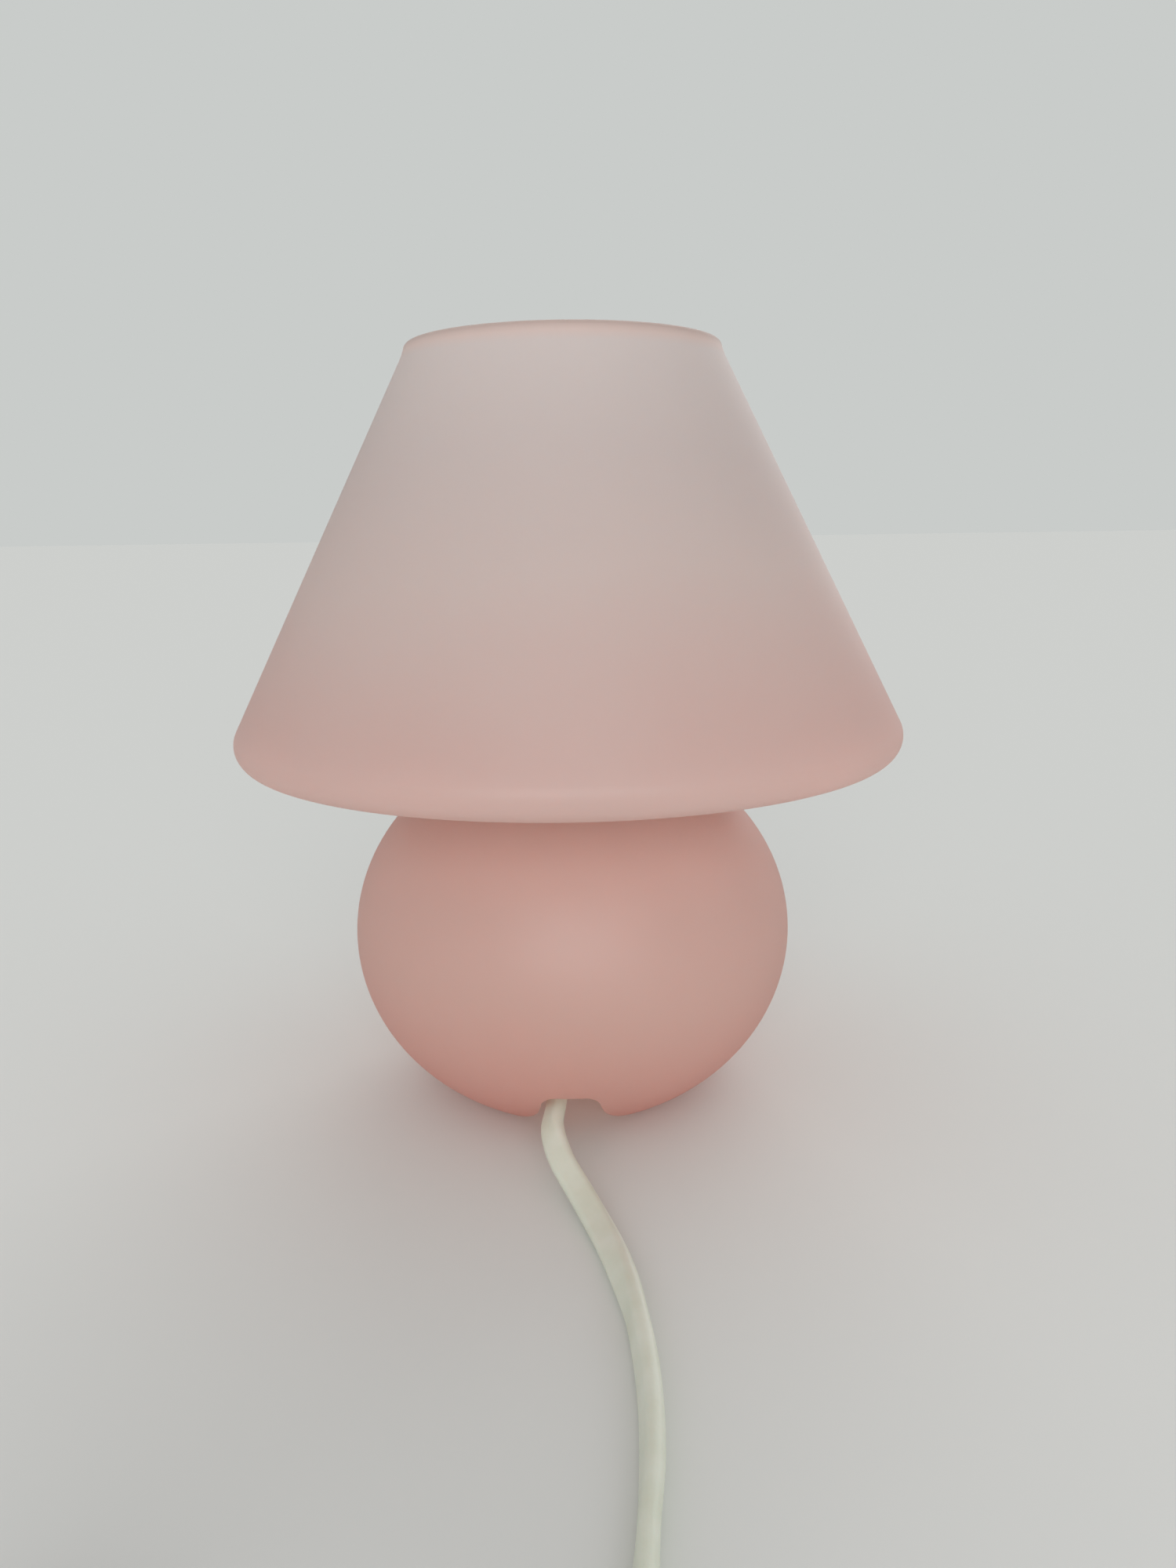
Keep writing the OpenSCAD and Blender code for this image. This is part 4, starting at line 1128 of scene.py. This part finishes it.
@dataclass
class RockerSwitch:
    """Pill-shaped in-line switch with a dished rocker. Millimetres."""

    place: tuple[float, float, float] = (12.5, -237.0, 0.0)
    length: float = 58.0
    width: float = 26.0
    height: float = 15.0
    split_z: float = 6.5
    wall: float = 1.8
    crown_r: float = 4.0
    crown_steps: int = 10
    seam: float = 0.4
    cord_w: float = 6.5
    cord_t: float = 4.0
    cut_past: float = 4.0
    window_edge: float = 0.5
    rocker_w: float = 9.6
    rocker_reach: float = 10.0
    rocker_slack: float = 0.02
    rocker_dish: float = 4.2
    rocker_tilt: float = 7.0
    rocker_drop: float = 1.5
    rocker_edge: float = 0.45
    dish_round: float = 6.0
    side_steps: int = 6
    pin_z: float = 11.5
    swing_gap: float = 0.35
    grip_ribs: int = 3
    rib_from: float = 4.6
    rib_step: float = 1.3
    rib_r: float = 0.3
    rib_sink: float = 0.05
    rib_margin: float = 1.6
    rib_edge: float = 0.2
    sharp: float = 32.0

    def ring(self, bm: BMesh, inset: float, z: float) -> list[BMEdge]:
        """Add one ring of the case.

        Args:
            bm: Bmesh that gets it.
            inset: How far it lies inside the case's outline.
            z: Its height.

        Returns:
            Its edges.
        """
        place = Matrix.Translation((0, 0, z)) @ Matrix.Rotation(math.pi / 2, 4, "Z")
        return slab_ring(bm, self.length - 2 * inset, self.width - 2 * inset, place, segments=80)

    def upper_case(self) -> BMesh:
        """Make the upper half: a hollow crown with a seam bevel, the rocker's window and the cord slots.

        Returns:
            Closed bmesh of the case half.
        """
        bm = bmesh.new()
        crown = [(inset, self.height - drop) for inset, drop in quarter(self.crown_r, self.crown_steps)]
        hollow = [(self.wall + inset, self.height - self.wall - drop)
                  for inset, drop in quarter(self.crown_r - self.wall, self.crown_steps // 2)]
        outer, inner = ([self.ring(bm, *at) for at in wall] for wall in (
            [(self.seam, self.split_z), (0, self.split_z + self.seam), *crown],
            [(self.wall, self.split_z + self.seam / 2), *hollow]))
        loft(bm, outer, first=False)
        loft(bm, inner, first=False)
        bmesh.ops.bridge_loops(bm, edges=outer[0] + inner[0])
        window = (self.rocker_w + 2 * self.swing_gap, 2 * (self.rocker_reach + self.swing_gap), self.cut_past)
        slot = (self.cord_w, self.length + self.cut_past, self.cord_t)
        opened = cut(outward(bm), box_tool(window, (0, 0, self.height), self.window_edge))
        return cut(opened, box_tool(slot, (0, 0, self.split_z)))

    def rocker(self) -> BMesh:
        """Make the rocker round its pin: a sector with a dished top, soft edges and grip ribs at one end.

        Returns:
            Closed bmesh of the rocker, level on its pin.
        """
        lean = math.radians(self.rocker_tilt)
        reach = self.rocker_reach - self.rocker_slack
        corner = math.asin(self.rocker_dish * math.cos(lean) / reach) + lean
        foot = -math.asin(self.rocker_drop / reach)
        turns = [foot + (corner - foot) * k / self.side_steps for k in range(self.side_steps + 1)]
        side = [(reach * math.cos(a), reach * math.sin(a)) for a in turns]
        outline = [*side, (0, self.rocker_dish), *((-y, z) for y, z in reversed(side))]
        bm = prism([(-self.rocker_w / 2, y, z) for y, z in outline], [([len(side)], self.dish_round)],
                   (self.rocker_w, 0, 0))
        rounded(bm, sharp_edges(bm, 40), self.rocker_edge)
        return joined([bm] + [self.rib(k, math.tan(lean)) for k in range(self.grip_ribs)])

    def rib(self, number: int, slope: float) -> BMesh:
        """Make one grip rib on the rocker's far end.

        Args:
            number: Its place, counted from the middle.
            slope: Slope of the rocker's top.

        Returns:
            Closed bmesh of the rib.
        """
        bm = bmesh.new()
        out = self.rib_from + self.rib_step * number
        place = Matrix.Translation((0, -out, self.rocker_dish + out * slope - self.rib_sink))
        bmesh.ops.create_cone(bm, cap_ends=True, segments=20, radius1=self.rib_r, radius2=self.rib_r,
                              depth=self.rocker_w - 2 * self.rib_margin,
                              matrix=place @ Matrix.Rotation(math.pi / 2, 4, "Y"))
        rounded(bm, sharp_edges(bm, 60), self.rib_edge)
        return bm

    def build(self) -> list[Object]:
        """Make the upper case and the rocker.

        Returns:
            Both pieces.
        """
        rocker = self.rocker()
        tipped = Matrix.Rotation(-math.radians(self.rocker_tilt), 4, "X")
        bmesh.ops.transform(rocker, matrix=tipped, verts=rocker.verts)
        pin = Vector(self.place) + Vector((0, 0, self.pin_z))
        return [
            make_piece("switch_case_crown", self.upper_case(), Body.LAMP, Slot.WHITE, ["switch_upper_case"],
                       self.place, self.sharp),
            make_piece("switch_rocker_dished", rocker, Body.ROCKER, Slot.WHITE, ["switch_rocker"],
                       pin, self.sharp)]


@dataclass
class MouldedPlug:
    """Flat two-pin plug with grip ripples and a ribbed strain relief, placed by its front. Millimetres."""

    place: tuple[float, float, float] = (-71.5, -204.0, 6.85)
    width: float = 35.3
    height: float = 13.7
    length: float = 36.0
    shoulder: float = 12.0
    back_w: float = 17.65
    back_h: float = 11.7
    back_edge: float = 0.6
    edge: float = 1.0
    edge_steps: int = 4
    front_flat: float = 1.0
    body_steps: int = 80
    side_ease: float = 0.055
    ripples: int = 4
    ripple_step: float = 3.2
    ripple_deep: float = 0.45
    ripple_from: float = 15.0
    relief_l: float = 22.0
    relief_r: float = 5.6
    relief_ribs: int = 5
    relief_taper: float = 0.2
    rib_deep: float = 0.8
    rib_edge: float = 0.2
    rib_share: float = 0.6

    def body_size(self, back: float) -> tuple[float, float]:
        """Give the body's width and height at a distance behind its front face.

        Args:
            back: That distance.

        Returns:
            Width and height there.
        """
        k = min(max((back - self.shoulder) / (self.length - self.shoulder), 0), 1)
        ease = k - self.side_ease * math.sin(2 * math.pi * k)
        wide = self.width + (self.back_w - self.width) * ease
        tall = self.height + (self.back_h - self.height) * k
        into = (back - self.ripple_from) / self.ripple_step
        if 0 < into < self.ripples:
            tall -= self.ripple_deep * (1 - math.cos(2 * math.pi * into))
        return wide, tall

    def sections(self) -> list[tuple[float, float, float]]:
        """List the plug's sections from front to back.

        Returns:
            Distance behind the front face, width and height of each.
        """
        out = [(drop, self.width - 2 * inset, self.height - 2 * inset)
               for inset, drop in reversed(quarter(self.edge, self.edge_steps))]
        front = self.edge + self.front_flat
        for k in range(self.body_steps + 1):
            back = front + (self.length - front - self.back_edge) * k / self.body_steps
            out.append((back, *self.body_size(back)))
        out.append((self.length, self.back_w - 2 * self.back_edge, self.back_h - 2 * self.back_edge))
        step = self.relief_l / self.relief_ribs
        for i in range(self.relief_ribs):
            crest = 2 * (self.relief_r - i * self.relief_taper)
            root, soft = crest - 2 * self.rib_deep, crest - 2 * self.rib_edge
            # Shares of the step: up the rib's front, along its crest, down its back and along the groove
            for share, size in ((0.02, root), (0.1, soft), (0.16, crest), (self.rib_share - 0.1, crest),
                                (self.rib_share - 0.04, soft), (self.rib_share + 0.06, root), (0.98, root)):
                out.append((self.length + step * (i + share), size, size))
        return out

    def build(self) -> Object:
        """Loft the plug's sections.

        Returns:
            The plug's body.
        """
        bm = bmesh.new()
        lie = Matrix.Rotation(math.pi / 2, 4, "X")
        loft(bm, [slab_ring(bm, wide, tall, Matrix.Translation((0, -back, 0)) @ lie)
                  for back, wide, tall in self.sections()])
        return make_piece("plug_body_moulded", outward(bm), Body.LAMP, Slot.PLUG, ["plug_body"], self.place,
                          sharp=50)


@dataclass
class CordTie:
    """Soft strap round the coil, its end lapped on top. Millimetres."""

    x: float = -29.5
    low: tuple[float, float] = (-280.14, 0.0)
    high: tuple[float, float] = (-264.2, 15.8)
    width: float = 7.0
    thick: float = 0.8
    corner: float = 1.4
    corner_steps: int = 6
    lap: float = 11.0
    lap_margin: float = 0.3
    lap_sink: float = 0.05
    lap_edge: float = 0.25
    lap_side: float = 0.48

    def band(self) -> BMesh:
        """Make the closed loop of the strap.

        Returns:
            Closed bmesh of the band.
        """
        (y0, z0), (y1, z1) = self.low, self.high
        start = self.x - self.width / 2
        bm = rounded_ring([(start, y, z) for y, z in ((y0, z0), (y1, z0), (y1, z1), (y0, z1))], self.corner,
                          self.corner_steps)
        made = bmesh.ops.extrude_edge_only(bm, edges=bm.edges[:])["geom"]
        bmesh.ops.translate(bm, verts=only(made, BMVert), vec=(self.width, 0, 0))
        outward(bm)
        bmesh.ops.solidify(bm, geom=bm.faces[:], thickness=self.thick)
        return outward(bm)

    def tongue(self) -> BMesh:
        """Make the lapped end: a round-ended strip on the top of the band.

        Returns:
            Closed bmesh of the strip.
        """
        bm = bmesh.new()
        middle = Vector((self.x, (self.low[0] + self.high[0]) / 2, self.high[1] - self.lap_sink))
        turn = Matrix.Rotation(math.pi / 2, 4, "Z")
        wide = self.width - 2 * self.lap_margin
        loft(bm, [slab_ring(bm, self.lap - 2 * inset, wide - 2 * inset,
                            Matrix.Translation(middle + Vector((0, 0, up))) @ turn)
                  for inset, up in ((0, 0), (0, self.lap_side), (self.lap_edge, self.thick))])
        return outward(bm)

    def build(self) -> Object:
        """Make the tie.

        Returns:
            The tie.
        """
        strap = joined([self.band(), self.tongue()])
        return make_piece("cord_tie_strap", strap, Body.LAMP, Slot.BLACK, ["cord_tie"], sharp=35)


@dataclass
class PhotoCamera:
    """Camera at the photograph's place. Millimetres, degrees, and pixels of the photograph."""

    place: tuple[float, float, float] = (9.2, -316.1, 155.6)
    yaw: float = 0.79
    pitch: float = 12.6
    roll: float = -0.83
    focal_px: float = 1490.0
    frame_px: float = 2000.0
    sensor: float = 36.0
    near: float = 10.0
    far: float = 50000.0

    def build(self) -> None:
        """Make the scene's camera."""
        yaw, pitch, roll = (math.radians(a) for a in (self.yaw, self.pitch, self.roll))
        ahead = Vector((-math.sin(yaw) * math.cos(pitch), math.cos(yaw) * math.cos(pitch), -math.sin(pitch)))
        right = Vector((math.cos(yaw), math.sin(yaw), 0))
        up = right.cross(ahead)
        across = math.cos(roll) * right + math.sin(roll) * up
        upright = math.cos(roll) * up - math.sin(roll) * right
        data = bpy.data.cameras.new("photo_camera")
        data.sensor_width = self.sensor
        data.lens = self.focal_px / self.frame_px * self.sensor
        data.clip_start = self.near * MM
        data.clip_end = self.far * MM
        camera = put("photo_camera", data)
        turn = Matrix((across, upright, -ahead)).transposed().to_4x4()
        camera.matrix_world = Matrix.Translation(Vector(self.place) * MM) @ turn
        bpy.context.scene.camera = camera


@dataclass
class Studio:
    """Plain pale floor, pale backdrop and soft light. Metres and degrees."""

    floor_code: str = "E6E8E5"
    floor_half: float = 12.0
    floor_rough: float = 0.6
    back_code: str = "C9CCCA"
    sky_code: str = "FFFFFF"
    sky: float = 0.58
    key: float = 1.62
    key_from: tuple[float, float, float] = (0.03, -1.0, 0.12)
    fill: float = 1.05
    fill_from: tuple[float, float, float] = (0.25, 1.0, 0.35)
    spread: float = 52.0

    def floor(self) -> None:
        """Lay the floor."""
        bm = bmesh.new()
        bmesh.ops.create_grid(bm, x_segments=1, y_segments=1, size=self.floor_half)
        floor = put("floor", mesh_of("floor", bm))
        paint = bpy.data.materials.new("floor_paint")
        paint.use_nodes = True
        set_inputs(paint.node_tree, paint.node_tree.nodes["Principled BSDF"], {
            "Base Color": linear(self.floor_code), "Roughness": self.floor_rough, "Specular IOR Level": 0.0})
        floor.data.materials.append(paint)

    def backdrop(self) -> None:
        """Set the even sky that lights the scene and the pale backdrop that is seen."""
        world = bpy.data.worlds.new("studio")
        world.use_nodes = True
        tree = world.node_tree
        tree.nodes.clear()
        rays = add_node(tree, "LightPath").outputs
        seen = rays["Is Camera Ray"]
        for ray in ("Is Transmission Ray", "Is Glossy Ray"):
            seen = add_node(tree, "Math", {"operation": "MAXIMUM"}, {0: seen, 1: rays[ray]}).outputs["Value"]
        light, shown = (add_node(tree, "Background", inputs={"Color": linear(code), "Strength": level})
                        for code, level in ((self.sky_code, self.sky), (self.back_code, 1.0)))
        mix = add_node(tree, "MixShader", inputs={
            0: seen, 1: light.outputs["Background"], 2: shown.outputs["Background"]})
        add_node(tree, "OutputWorld", inputs={"Surface": mix.outputs["Shader"]})
        bpy.context.scene.world = world

    def soft_light(self, name: str, level: float, source: Point) -> None:
        """Add one wide soft light.

        Args:
            name: Name of the light.
            level: Its strength.
            source: Direction that it comes from.
        """
        data = bpy.data.lights.new(name, "SUN")
        data.energy = level
        data.angle = math.radians(self.spread)
        light = put(name, data)
        light.matrix_world = (-Vector(source)).to_track_quat("-Z", "Y").to_matrix().to_4x4()

    def build(self) -> None:
        """Set up floor, backdrop and lights."""
        self.floor()
        self.backdrop()
        self.soft_light("soft_key", self.key, self.key_from)
        self.soft_light("soft_fill", self.fill, self.fill_from)
        bpy.context.scene.view_settings.view_transform = "Standard"


def dress_nodes() -> None:
    """Give every carried-over CAD node the finish of its record slot."""
    for entry in frame["record"]["subparts"]:
        for place in frame["nodes"][entry["node"]].material_slots:
            place.material = FINISH_OF[Slot(entry["material_slot"])].material()


def main() -> None:
    """Build the lamp round its frame."""
    logging.basicConfig(level=logging.INFO, format="%(name)s: %(message)s")
    PhotoCamera().build()
    dress_nodes()
    nodes = frame["nodes"]
    switch = RockerSwitch().build()
    plug = MouldedPlug().build()
    tie = CordTie().build()
    inside = [node for name, node in nodes.items() if name.startswith("switch_") and not node.hide_render]
    FlatFlex().build(switch + inside, [plug, tie, nodes["plug_sleeves"], nodes["plug_pins"]])
    Lampholder().build()
    GlobeBulb().build()
    GlassShell().build()
    Studio().build()


if __name__ == "__main__":
    main()
